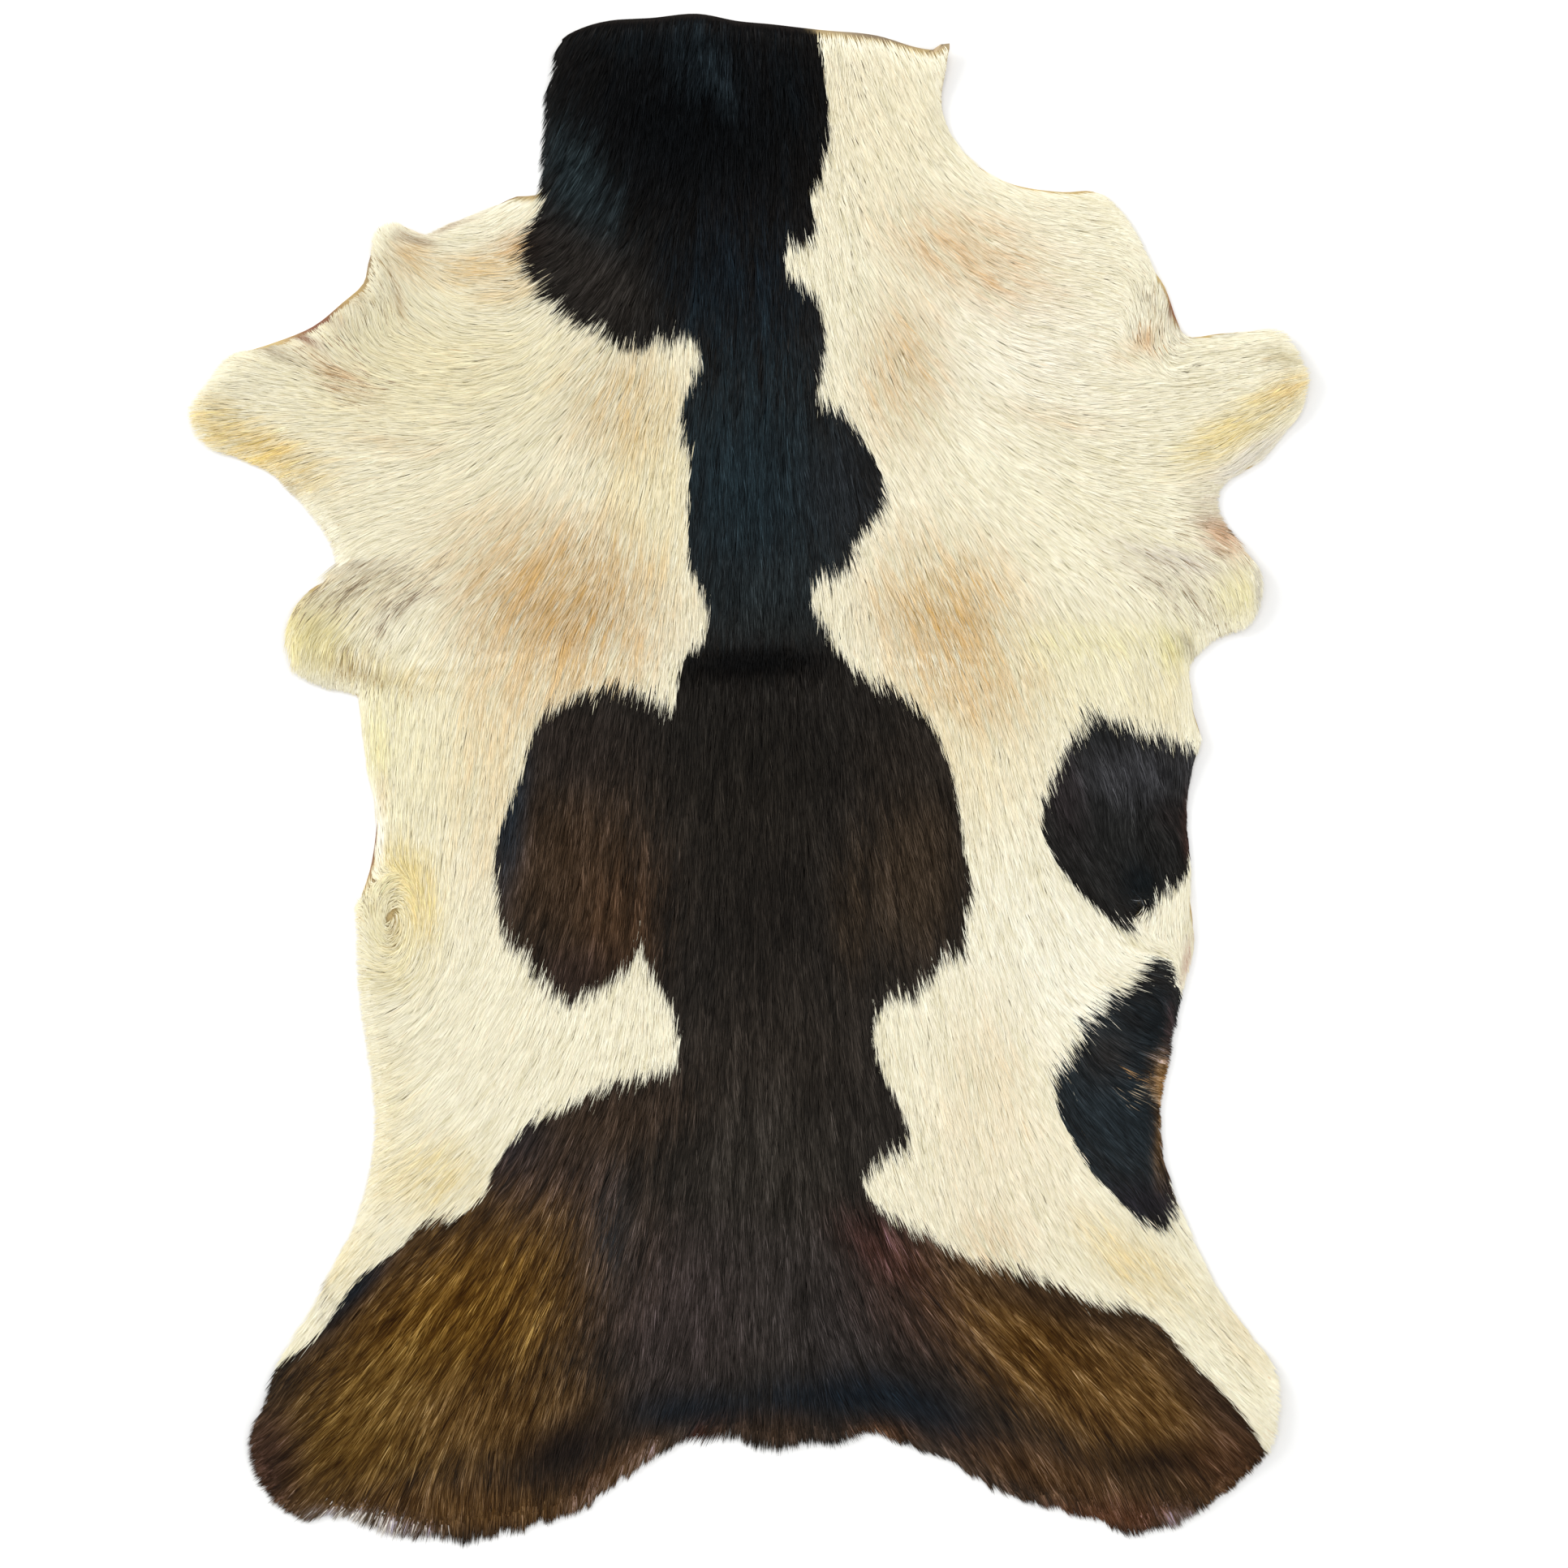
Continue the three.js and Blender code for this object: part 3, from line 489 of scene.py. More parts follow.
# Relief
SWELL_REACH = 40.0  # distance from the rim over which the skin takes up the swells
SWELL_SHARE = 0.3  # share of a swell that the skin takes up
FRINGE_SLOPE = 14.0  # distance past the rim over which the fringe thins
FRINGE_LEAST = 0.35  # share of the cut edge's height that it keeps
SKIN_RINGS = [0, 0.02, 0.06, 0.14, 0.24, 0.36, 0.48, 0.6, 0.72, 0.84, 0.94]  # shares inwards

# Lie of the hair. Turns are in radians.
STROKE_CORE = 60.0  # in square millimetres, keeps a stroke from outweighing all beside it
WHORL_CORE = 0.03  # reach within which the turn of a whorl fades out at its middle
TURN_BY_TUFT, TURN_BY_STREAK, TURN_BY_HAIR = 0.04, 0.03, 0.045

# Streaks of the coat, as width and length
FINE_STREAK = (1.4, 26.0)
BROAD_STREAK = (4.0, 60.0)

# Length of a hair away from the places in the table, and shares of it
HAIR_LENGTH = 19.0
LENGTH_RANGE = (0.75, 1.08)
LENGTH_BY_STREAK = 0.06
BEND = 0.36  # a hair rises from its root and bends over at this share of its length
ROOT_INSET = 0.15  # distance of the outermost roots from the skin's edge

# Guard hairs are longer and thinner than the rest, and lie on top
GUARD_SHARE, GUARD_LENGTH, GUARD_WIDTH = 0.12, 1.22, 0.7

# Locks of the fringe
LOCK_SIZE = 6.5
LOCK_DEPTH = 18.0  # distance inside the rim from which hair gathers in them
LOCK_GATHER = 0.75  # how fully it gathers right at the rim
LOCK_TUFTS = 5.0  # where tufts stand out less than this, it gathers less
LOCK_UNEVEN = 1.4  # above 1, few locks reach far out
REACH_BY_HAIR, REACH_BY_TUFT, REACH_BY_LOCK = 0.2, 0.2, 0.8
MIDDLE_DRAW, TIP_DRAW, LOCK_DRAW = 0.1, 0.26, 0.45  # shares of the way to the tuft or lock
FITTING_ROUNDS, SHORTENED = 5, 0.74  # a hair that stands out too far is shortened each round

# Edges of the markings: the share of a hair's length at which its marking is read, how that
# varies, what its own place and its tuft's count for, and a blur in millimetres
MARK_PLACE, MARK_BY_STREAK, MARK_BY_HAIR = 0.56, 0.12, 0.17
MARK_OWN, MARK_TUFT = 0.7, 0.3
MARK_BLUR = 0.7
SKIN_MARK_FADE = 6.0  # width over which the skin changes colour there

# Tone of a hair, in steps about zero, and its doubt
STREAK_PARTS = (0.85, 0.4)  # by fine and broad streak
# the part by depth is painted shade: a hair that lies lower in the coat gets a darker tone
OWN_PARTS = (0.75, 2.3)  # by chance, and by its depth in the coat
MEAN_DEPTH = 0.6
TONE_LIMIT = 2
DOUBT_PARTS = (0.3, 0.1, 0.28)  # by fine and broad streak, and by chance
DOUBT_LIMIT = 1.2
DOUBT_GAIN = 2.4
DARK_DOUBT = 0.6  # share of it that counts in the dark hair
AREA_FALL = 1.3  # above 1, an area of colour is flatter within and falls off faster

# How far the light hairs are stained: middle, spread, part of the streak, and the most
STAIN_COLOUR = "#CFB080"
STAIN_MIDDLE, STAIN_SPREAD, STAIN_BY_STREAK, STAIN_MOST = -0.34, 0.26, 0.12, 0.7

# What a step of tone does to a cream or black hair, and what it does more to a tan or brown
# one. The shifts make up for what the tones add to the mean.
LIGHT_BY_STREAK, LIGHT_BY_HAIR, LIGHT_SHIFT = (0.035, 0.045), (0.05, 0.1), 0.03
DARK_BY_STREAK, DARK_BY_HAIR, DARK_SHIFT = (0.24, 0.22), (0.46, 0.08), 0.45

# Where red passes blue a hair counts as tan or brown: gain and start
LIGHT_WARMTH, DARK_WARMTH = (4, 1), (12, 0)

# Golden hairs in the dark markings vary less: red from which they do, gain, and the most
CALM_FROM, CALM_GAIN, CALM_MOST = 0.2, 2.2, 0.6

# How far red, green and blue follow a hair's tone: shaded hair is yellower
LIGHT_SPREAD = np.array([1.0, 1.25, 2.5])
DARK_SPREAD = np.array([1.0, 1.2, 1.7])

# Share of its colour that a hair has at the root and at the tip: painted shade darkens the root
# deep in the coat, and a painted highlight lightens the tip
LIGHT_ROOT_SHADE = np.array([0.97, 0.85, 0.6])
DARK_ROOT_SHADE = np.array([0.45, 0.45, 0.5])
LIGHTNESS_GAIN = 3  # a hair counts as fully light from a third of full green
TIP_SHINE = 1.06
DARKEST, BRIGHTEST = 0.0015, 0.95

# Stray hairs gather along the streaks, up to this many times, and each has its own tone
STRAY_BY_STREAK, STRAY_MOST, STRAY_TONE = 1.2, 3, 0.15

# Layer of a hair, as a share of the way from the skin to the coat's top
LAYER_LOWEST, LAYER_BY_DEPTH, LAYER_GUARD = 0.76, 0.14, 0.04
LAYER_BY_FINE, LAYER_BY_BROAD, LAYER_LIMIT = 0.04, 0.025, 1.5
RISES = {"root": 0.0, "middle": 0.72, "tip": 1.0}
ROOT_SINK = 0.4  # a root starts this far inside the skin
CLEARANCE = 0.3  # least height of the coat over the skin, and of the fringe over the floor
FLOOR_GAP = 0.1  # least height of a hair's sides over the floor

# Shape of a hair: roll about its length in radians, and half its width as a share
HAIR_ROLL = 0.35
HALF_WIDTHS = (0.34, 0.64)

# Tones of the skin's hair side and flesh side, under light and under dark hair
HAIR_SIDE = ("#DBC48E", "#17120F")
FLESH_SIDE = ("#D8C5A6", "#A5968A")

BANDS = ("coat_neck", "coat_shoulders", "coat_back", "coat_flanks", "coat_rump")

# Stage, in metres: square lights that face the middle of the floor, as name, place, size and
# watts, and a lens that frames 966 mm of the hide from 2.69 m above the floor
LIGHTS = [
    ("soft_top", (0.3, 0.4, 3.6), 3.2, 66),
    ("soft_left", (-2.4, 1.6, 1.8), 1.4, 44),
]
SKY_STRENGTH = 0.62
FLOOR_SIZE = 12
CAMERA_PLACE = (0.02275, -0.003, 2.69)
LENS_MM, SENSOR_MM = 100, 36
VIEW_END = 30


def linear(code):
    """An sRGB hex colour as linear RGBA."""
    channels = [int(code[place:place + 2], 16) / 255 for place in (1, 3, 5)]
    spread = [c / 12.92 if c <= 0.04045 else ((c + 0.055) / 1.055) ** 2.4 for c in channels]
    return (*spread, 1.0)


def rgb(code):
    return np.array(linear(code)[:3])


class GoatskinSettings(bpy.types.PropertyGroup):
    """Sizes and colours of the goatskin that a user would change."""

    skin_thickness: bpy.props.FloatProperty(
        name="Skin thickness", description="Thickness of the dressed leather",
        default=1.5 * MM, min=0.5 * MM, max=3 * MM, unit="LENGTH")
    hair_spacing: bpy.props.FloatProperty(
        name="Hair spacing", description="Distance between the roots of neighbouring hairs",
        default=0.98 * MM, min=0.9 * MM, max=6 * MM, unit="LENGTH")
    hair_width: bpy.props.FloatProperty(
        name="Hair width", description="Width of a hair, drawn as a strand of a few hairs",
        default=0.76 * MM, min=0.2 * MM, max=3 * MM, unit="LENGTH")
    tuft_size: bpy.props.FloatProperty(
        name="Tuft size", description="Distance between the tufts that the hair draws into",
        default=2.8 * MM, min=1 * MM, max=20 * MM, unit="LENGTH")
    light_hair: bpy.props.FloatVectorProperty(
        name="Light hair", description="Colour of the light coat away from its stains",
        default=linear("#F4EFD9"), size=4, min=0, max=1, subtype="COLOR")
    dark_hair: bpy.props.FloatVectorProperty(
        name="Dark hair", description="Colour of the dark markings away from their tints",
        default=linear("#26221E"), size=4, min=0, max=1, subtype="COLOR")
    floor_color: bpy.props.FloatVectorProperty(
        name="Floor", description="Colour of the studio floor",
        default=linear("#F8F8F7"), size=4, min=0, max=1, subtype="COLOR")


def settings():
    return bpy.context.scene.goatskin


# Outline and relief

def smooth_loop(points, values, step):
    """A closed smooth curve through the points, as centripetal Catmull-Rom spans cut into
    pieces of at most the step, and the values carried along in straight steps."""
    knots = np.array(points, float)
    values = np.array(values, float)
    count = len(knots)
    places = []
    carried = []
    for index in range(count):
        before, start, end, after = (knots[(index + shift) % count] for shift in (-1, 0, 1, 2))
        gaps = [math.sqrt(max(np.hypot(*(b - a)), 1e-6))
                for a, b in ((before, start), (start, end), (end, after))]
        way = end - start
        leave = ((start - before) / gaps[0] - (end - before) / (gaps[0] + gaps[1])
                 + way / gaps[1]) * gaps[1]
        arrive = (way / gaps[1] - (after - start) / (gaps[1] + gaps[2])
                  + (after - end) / gaps[2]) * gaps[1]
        pieces = max(1, math.ceil(np.hypot(*way) / step))
        share = (np.arange(pieces) / pieces)[:, None]
        curve = (start + leave * share + (3 * way - 2 * leave - arrive) * share ** 2
                 + (leave + arrive - 2 * way) * share ** 3)
        places.append(curve)
        carried.append(values[index] + (values[(index + 1) % count] - values[index]) * share)
    return np.concatenate(places), np.concatenate(carried)


def rim_outline(step):
    """The rim as an outline, and beside each point its place on the backbone, its overhang
    of hair and the reach of its tufts."""
    points = []
    values = []
    for (spine_from, spine_to), overhang, tufts, stretch in RIM:
        for index, point in enumerate(stretch):
            share = index / (len(stretch) - 1)
            points.append(point)
            values.append((spine_from + (spine_to - spine_from) * share, overhang, tufts))
    return smooth_loop(points, values, step)


def towards_backbone(outline, spine_y, inset, share):
    """Each point of the outline moved in by the inset, and then by a share of what is left."""
    way = np.stack([BACKBONE_X - outline[:, 0], spine_y - outline[:, 1]], axis=1)
    length = np.hypot(way[:, 0], way[:, 1])
    travel = (inset + (length - inset) * share) / length
    return outline + way * travel[:, None]


def curl_lift(x, y):
    lift = np.zeros_like(x)
    for middle_x, middle_y, radius, height in CURLS:
        reach = np.minimum(np.hypot(x - middle_x, y - middle_y) / radius, 1)
        lift = np.maximum(lift, height * (1 - reach ** 2) ** 2)
    return lift


def in_oval(x, y, middle_x, middle_y, long, wide, turn):
    """Places along and across a turned oval, in its half lengths and half widths."""
    cos, sin = math.cos(math.radians(turn)), math.sin(math.radians(turn))
    dx, dy = x - middle_x, y - middle_y
    return (dx * cos + dy * sin) / long, (dy * cos - dx * sin) / wide


def oval_rise(x, y, ovals):
    rise = np.zeros_like(x)
    for *oval, height in ovals:
        along, across = in_oval(x, y, *oval)
        rise = rise + height * np.exp(-along ** 2 - across ** 2)
    return rise


def swell_rise(x, y):
    turns = 2 * math.pi / LUMP_WAVE
    lumps = (np.sin((x + LUMP_SLANTS[0] * y) * turns)
             * np.sin((y - LUMP_SLANTS[1] * x) * turns))
    return oval_rise(x, y, SWELLS) + LUMP_HEIGHT * lumps


def skin_floor(x, y, inside):
    """Height of the skin's flesh side. Away from the rim it rises a little with the coat."""
    grown = np.clip(inside / SWELL_REACH, 0, 1)
    return curl_lift(x, y) + SWELL_SHARE * np.maximum(swell_rise(x, y), 0) * grown


def coat_top(x, y, inside):
    """Height of the coat's surface, given the distance inside the rim."""
    grown = np.sin(np.clip(inside / RIM_SLOPE, 0, 1) * math.pi / 2)
    edge = CUT_EDGE * np.clip(1 + inside / FRINGE_SLOPE, FRINGE_LEAST, 1)
    rise = swell_rise(x, y) + oval_rise(x, y, CREASES)
    return curl_lift(x, y) + edge + (COAT_HEIGHT - CUT_EDGE + rise) * grown


# Fields over the hide, kept on a square grid

class Field:
    """Values on a square grid over the hide, read between its points."""

    WEST, SOUTH, EAST, NORTH = -372.0, -500.0, 372.0, 500.0
    LAST = 1.001  # a place on the far edge is read in the last cell

    def __init__(self, pitch):
        self.pitch = pitch
        across = np.arange(self.WEST, self.EAST + pitch, pitch)
        along = np.arange(self.SOUTH, self.NORTH + pitch, pitch)
        self.x, self.y = np.meshgrid(across, along)
        self.values = None

    def read(self, x, y, values=None):
        values = self.values if values is None else values
        column = np.clip((x - self.WEST) / self.pitch, 0, self.x.shape[1] - self.LAST)
        row = np.clip((y - self.SOUTH) / self.pitch, 0, self.x.shape[0] - self.LAST)
        left, low = column.astype(int), row.astype(int)
        right_share, up_share = column - left, row - low
        lower = values[low, left] * (1 - right_share) + values[low, left + 1] * right_share
        upper = values[low + 1, left] * (1 - right_share) + values[low + 1, left + 1] * right_share
        return lower * (1 - up_share) + upper * up_share


def distance_field(outline, pitch, carried=None):
    """Distance inside a closed outline, negative outside it, and the carried value of its
    nearest side."""
    field = Field(pitch)
    x, y = field.x.ravel(), field.y.ravel()
    nearest = np.full(x.shape, 1e9)
    side = np.zeros(x.shape, int)
    inside = np.zeros(x.shape, bool)
    for index, (start, end) in enumerate(zip(outline, np.roll(outline, -1, axis=0))):
        way = end - start
        length = max(way @ way, 1e-9)
        share = np.clip(((x - start[0]) * way[0] + (y - start[1]) * way[1]) / length, 0, 1)
        gap = (x - start[0] - way[0] * share) ** 2 + (y - start[1] - way[1] * share) ** 2
        closer = gap < nearest
        nearest[closer] = gap[closer]
        side[closer] = index
        if start[1] != end[1]:
            crosses = (start[1] > y) != (end[1] > y)
            inside ^= crosses & (x < start[0] + way[0] * (y - start[1]) / way[1])
    field.values = (np.where(inside, 1, -1) * np.sqrt(nearest)).reshape(field.x.shape)
    field.carried = None if carried is None else carried[side].reshape(field.x.shape)
    return field


def marking_field():
    """Distance inside the nearest dark marking, negative in the light hair."""
    marks = None
    for outline in (SADDLE, FLANK_SPOT, THIGH_SPOT):
        loop, _ = smooth_loop(outline, np.zeros((len(outline), 1)), COARSE_STEP)
        field = distance_field(loop, FINE_PITCH)
        if marks is not None:
            field.values = np.maximum(field.values, marks.values)
        marks = field
    return marks


def flow_field(pitch):
    """The way the hair lies, from the comb strokes. A nearer stroke counts for more."""
    field = Field(pitch)
    strokes = np.array(STROKES, float)
    heading = np.radians(strokes[:, 2])
    flow_x = np.zeros(field.x.shape)
    flow_y = np.zeros(field.x.shape)
    for (x, y, _), way in zip(strokes, heading):
        weight = 1 / ((field.x - x) ** 2 + (field.y - y) ** 2 + STROKE_CORE) ** 2
        flow_x += math.cos(way) * weight
        flow_y += math.sin(way) * weight
    length = np.hypot(flow_x, flow_y) + 1e-12
    flow_x, flow_y = flow_x / length, flow_y / length
    for x, y, radius_x, radius_y, share in WHORLS:
        dx, dy = field.x - x, field.y - y
        reach = (dx / radius_x) ** 2 + (dy / radius_y) ** 2
        weight = share * np.exp(-reach ** 2) * (1 - np.exp(-reach / WHORL_CORE))
        round_x, round_y = dy / radius_y ** 2, -dx / radius_x ** 2
        size = np.hypot(round_x, round_y) + 1e-9
        flow_x = flow_x * (1 - weight) + round_x / size * weight
        flow_y = flow_y * (1 - weight) + round_y / size * weight
    return field, flow_x, flow_y


def lie_of_hair(flow, x, y):
    """The way the hair lies at each place, as a unit vector."""
    field, flow_x, flow_y = flow
    way = np.stack([field.read(x, y, flow_x), field.read(x, y, flow_y)])
    return way / (np.hypot(*way) + 1e-9)


def streak_field(rng, flow, width, length):
    """Uneven streaks along the lie of the hair. Their values spread by one about zero."""
    field = Field(width)
    noise = rng.normal(0, 1, field.x.shape)
    field.values = np.zeros(field.x.shape)
    for sense in (-width, width):
        place = np.stack([field.x, field.y])
        for _ in range(round(length / 2 / width)):
            place = place + sense * lie_of_hair(flow, *place)
            field.values += field.read(*place, noise)
    field.values -= field.values.mean()
    field.values /= field.values.std()
    return field


def blend_areas(x, y, base, areas, doubt):
    """The base colour with the soft areas of colour laid over it, in their order. A hair's doubt
    makes it keep more or less of the colour below, so that areas fade hair by hair."""
    colour = np.repeat(np.array(base[:3], float)[None, :], len(x), axis=0)
    for *oval, code, share in areas:
        along, across = in_oval(x, y, *oval)
        weight = share * np.exp(-(along ** 2 + across ** 2) ** AREA_FALL)
        weight = np.clip(weight + doubt * DOUBT_GAIN * weight * (1 - weight), 0, 1)
        colour += (rgb(code) - colour) * weight[:, None]
    return colour


# Materials

def add_node(tree, kind, values=None, links=None, **attributes):
    """Adds a node, sets its attributes and input values, and links its inputs."""
    node = tree.nodes.new(kind)
    for name, value in attributes.items():
        setattr(node, name, value)
    sockets = {socket.name: socket for socket in reversed(node.inputs) if socket.enabled}
    for name, value in (values or {}).items():
        sockets[name].default_value = value
    for name, source in (links or {}).items():
        tree.links.new(source, sockets[name])
    return node


def new_material(name):
    material = bpy.data.materials.new(name)
    material.use_nodes = True
    material.node_tree.nodes.clear()
    return material, material.node_tree


def goat_hair():
    """Goat hair, washed and combed. Smooth strands of keratin, each a little lighter or darker
    than the next, with a soft gloss along the coat."""
    material, tree = new_material("goat_hair")
    colour = add_node(tree, "ShaderNodeAttribute", attribute_name="hair_colour")
    shader = add_node(tree, "ShaderNodeBsdfPrincipled",
                      {"Roughness": 0.42, "IOR": 1.5, "Specular IOR Level": 0.045},
                      {"Base Color": colour.outputs["Color"]})
    add_node(tree, "ShaderNodeOutputMaterial", links={"Surface": shader.outputs["BSDF"]})
    return material


def goat_leather():
    """Goat leather, tanned with the hair on and buffed on the flesh side. A matt fine nap with
    faint cloudy stains and shallow creases, slate where dark hair grows and pale where light."""
    material, tree = new_material("goat_leather_buffed")
    place = add_node(tree, "ShaderNodeTexCoord").outputs["Object"]
    tone = add_node(tree, "ShaderNodeAttribute", attribute_name="hide_colour")
    clouds = add_node(tree, "ShaderNodeTexNoise", {"Scale": 14, "Detail": 4, "Roughness": 0.6},
                      {"Vector": place})
    shade = add_node(tree, "ShaderNodeValToRGB", links={"Fac": clouds.outputs["Fac"]})
    shade.color_ramp.elements[0].position = 0.32
    shade.color_ramp.elements[0].color = linear("#D6CCBE")
    shade.color_ramp.elements[1].position = 0.68
    shade.color_ramp.elements[1].color = linear("#FFFFFF")
    stained = add_node(tree, "ShaderNodeMix", {"Factor": 1.0},
                       {"A": tone.outputs["Color"], "B": shade.outputs["Color"]},
                       data_type="RGBA", blend_type="MULTIPLY")
    nap = add_node(tree, "ShaderNodeTexNoise", {"Scale": 900, "Detail": 3, "Roughness": 0.7},
                   {"Vector": place})
    creases = add_node(tree, "ShaderNodeTexNoise", {"Scale": 30, "Detail": 5, "Distortion": 1.2},
                       {"Vector": place})
    rough = add_node(tree, "ShaderNodeBump", {"Strength": 0.5, "Distance": 0.0004},
                     {"Height": creases.outputs["Fac"]})
    fine = add_node(tree, "ShaderNodeBump", {"Strength": 0.35, "Distance": 0.0002},
                    {"Height": nap.outputs["Fac"], "Normal": rough.outputs["Normal"]})
    result = [socket for socket in stained.outputs if socket.enabled][0]
    shader = add_node(tree, "ShaderNodeBsdfPrincipled",
                      {"Roughness": 0.9, "Specular IOR Level": 0.2, "Sheen Weight": 0.1},
                      {"Base Color": result, "Normal": fine.outputs["Normal"]})
    add_node(tree, "ShaderNodeOutputMaterial", links={"Surface": shader.outputs["BSDF"]})
    return material


def studio_floor():
    """Seamless paper for the floor, matt and pale."""
    material, tree = new_material("studio_paper")
    shader = add_node(tree, "ShaderNodeBsdfPrincipled",
                      {"Base Color": settings().floor_color, "Roughness": 0.9,
                       "Specular IOR Level": 0.1})
    add_node(tree, "ShaderNodeOutputMaterial", links={"Surface": shader.outputs["BSDF"]})
    return material


# Pieces

def new_mesh_object(name, points, faces, material):
    """A mesh object from arrays. The points are in millimetres, and every face has the same
    number of corners."""
    corners = faces.shape[1]
    mesh = bpy.data.meshes.new(name)
    mesh.vertices.add(len(points))
    mesh.vertices.foreach_set("co", (points * MM).astype(np.float32).ravel())
    mesh.loops.add(len(faces) * corners)
    mesh.loops.foreach_set("vertex_index", faces.astype(np.int32).ravel())
    mesh.polygons.add(len(faces))
    mesh.polygons.foreach_set("loop_start", np.arange(len(faces), dtype=np.int32) * corners)
    mesh.polygons.foreach_set("use_smooth", np.ones(len(faces), bool))
    mesh.update(calc_edges=True)
    mesh.validate()
    mesh.materials.append(material)
    piece = bpy.data.objects.new(name, mesh)
    bpy.context.collection.objects.link(piece)
    return piece


def skin_edge(step):
    """The skin's own edge, which lies inside the rim by the overhang of the hair."""
    outline, values = rim_outline(step)
    return towards_backbone(outline, values[:, 0], values[:, 1], 0), values[:, 0]


def make_skin():
    """The tanned skin, a thin sheet under the coat, which shows at the cut edges and beneath."""
    edge, spine_y = skin_edge(COARSE_STEP)
    rim_field = distance_field(rim_outline(COARSE_STEP)[0], COARSE_PITCH)
    rings = [towards_backbone(edge, spine_y, 0, share) for share in SKIN_RINGS]
    count = len(edge)
    flat = np.concatenate(rings)
    height = skin_floor(flat[:, 0], flat[:, 1], rim_field.read(flat[:, 0], flat[:, 1]))
    points = np.column_stack([flat, height])
    near = np.arange(count)
    far = (near + 1) % count
    faces = np.concatenate([
        np.column_stack([near, far, far + count, near + count]) + ring * count
        for ring in range(len(rings) - 1)])
    skin = new_mesh_object("skin", points, faces, goat_leather())
    bpy.ops.object.select_all(action="DESELECT")
    skin.select_set(True)
    bpy.context.view_layer.objects.active = skin
    bpy.ops.object.mode_set(mode="EDIT")
    bpy.ops.mesh.select_mode(type="EDGE")
    bpy.ops.mesh.select_all(action="DESELECT")
    bpy.ops.object.mode_set(mode="OBJECT")
    inner = (len(rings) - 1) * count
    for side in skin.data.edges:
        side.select = min(side.vertices) >= inner
    bpy.ops.object.mode_set(mode="EDIT")
    bpy.ops.mesh.fill(use_beauty=True)
    bpy.ops.mesh.select_all(action="SELECT")
    bpy.ops.mesh.normals_make_consistent(inside=False)
    bpy.ops.object.mode_set(mode="OBJECT")
    wall = skin.modifiers.new("thickness", "SOLIDIFY")
    wall.thickness = settings().skin_thickness
    wall.offset = 1.0
    bpy.ops.object.modifier_apply(modifier=wall.name)
    bpy.ops.object.shade_smooth_by_angle(angle=math.radians(50))
    tone_skin(skin, rim_field)
    return skin


def tone_skin(skin, rim_field):
    """The skin's tone: pale brown with reddish blushes on the hair side, slate under the dark
    hair, and paler on the buffed flesh side."""
    count = len(skin.data.vertices)
    places = np.zeros(count * 3, np.float32)
    skin.data.vertices.foreach_get("co", places)
    x, y, z = places.reshape(-1, 3).T.astype(float) / MM
    raised = z - skin_floor(x, y, rim_field.read(x, y)) > settings().skin_thickness / MM / 2
    dark = np.clip(marking_field().read(x, y) / SKIN_MARK_FADE + 0.5, 0, 1)[:, None]
    blushed = blend_areas(x, y, linear(HAIR_SIDE[0]), SKIN_BLUSH, 0)
    hair_side = blushed * (1 - dark) + rgb(HAIR_SIDE[1]) * dark
    flesh_side = rgb(FLESH_SIDE[0]) * (1 - dark) + rgb(FLESH_SIDE[1]) * dark
    tones = np.ones((count, 4), np.float32)
    tones[:, :3] = np.where(raised[:, None], hair_side, flesh_side)
    layer = skin.data.color_attributes.new("hide_colour", "FLOAT_COLOR", "POINT")
    layer.data.foreach_set("color", tones.ravel())


def hair_roots(rng, spacing):
    """Places of the hairs on the skin, at an even spacing with a little jitter."""
    edge, _ = skin_edge(FINE_STEP)
    skin_field = distance_field(edge, FINE_PITCH)
    across = np.arange(Field.WEST, Field.EAST, spacing)
    along = np.arange(Field.SOUTH, Field.NORTH, spacing)
    roots = np.stack([grid.ravel() for grid in np.meshgrid(across, along)])
    roots = roots + rng.uniform(-0.5, 0.5, roots.shape) * spacing
    return roots[:, skin_field.read(*roots) > ROOT_INSET]


def nearest_tufts(rng, x, y, size):
    """Middle and number of the tuft that each hair belongs to, and how many there are. Tufts
    stand on a jittered grid."""
    columns = int((Field.EAST - Field.WEST) / size) + 4
    rows = int((Field.NORTH - Field.SOUTH) / size) + 4
    tuft_x = (np.arange(columns)[None, :] + rng.uniform(0, 1, (rows, columns))) * size
    tuft_y = (np.arange(rows)[:, None] + rng.uniform(0, 1, (rows, columns))) * size
    tuft_x += Field.WEST - size
    tuft_y += Field.SOUTH - size
    column = ((x - Field.WEST) / size).astype(int) + 1
    row = ((y - Field.SOUTH) / size).astype(int) + 1
    best = np.full(x.shape, 1e9)
    number = np.zeros(x.shape, int)
    for step_x in (-1, 0, 1):
        for step_y in (-1, 0, 1):
            near_column, near_row = column + step_x, row + step_y
            gap = ((x - tuft_x[near_row, near_column]) ** 2
                   + (y - tuft_y[near_row, near_column]) ** 2)
            closer = gap < best
            best[closer] = gap[closer]
            number[closer] = (near_row * columns + near_column)[closer]
    middle = np.stack([tuft_x.ravel()[number], tuft_y.ravel()[number]])
    return middle, number, rows * columns


def fringe_reach(x, y):
    reach = np.zeros_like(x)
    for middle_x, middle_y, radius, further in FRINGE:
        gap = (x - middle_x) ** 2 + (y - middle_y) ** 2
        reach += further * np.exp(-gap / radius ** 2)
    return reach


def hair_lengths(x, y):
    length = np.full(x.shape, HAIR_LENGTH)
    for middle_x, middle_y, radius_x, radius_y, middle in LENGTHS:
        weight = np.exp(-((x - middle_x) / radius_x) ** 2 - ((y - middle_y) / radius_y) ** 2)
        length += (middle - length) * weight
    return length


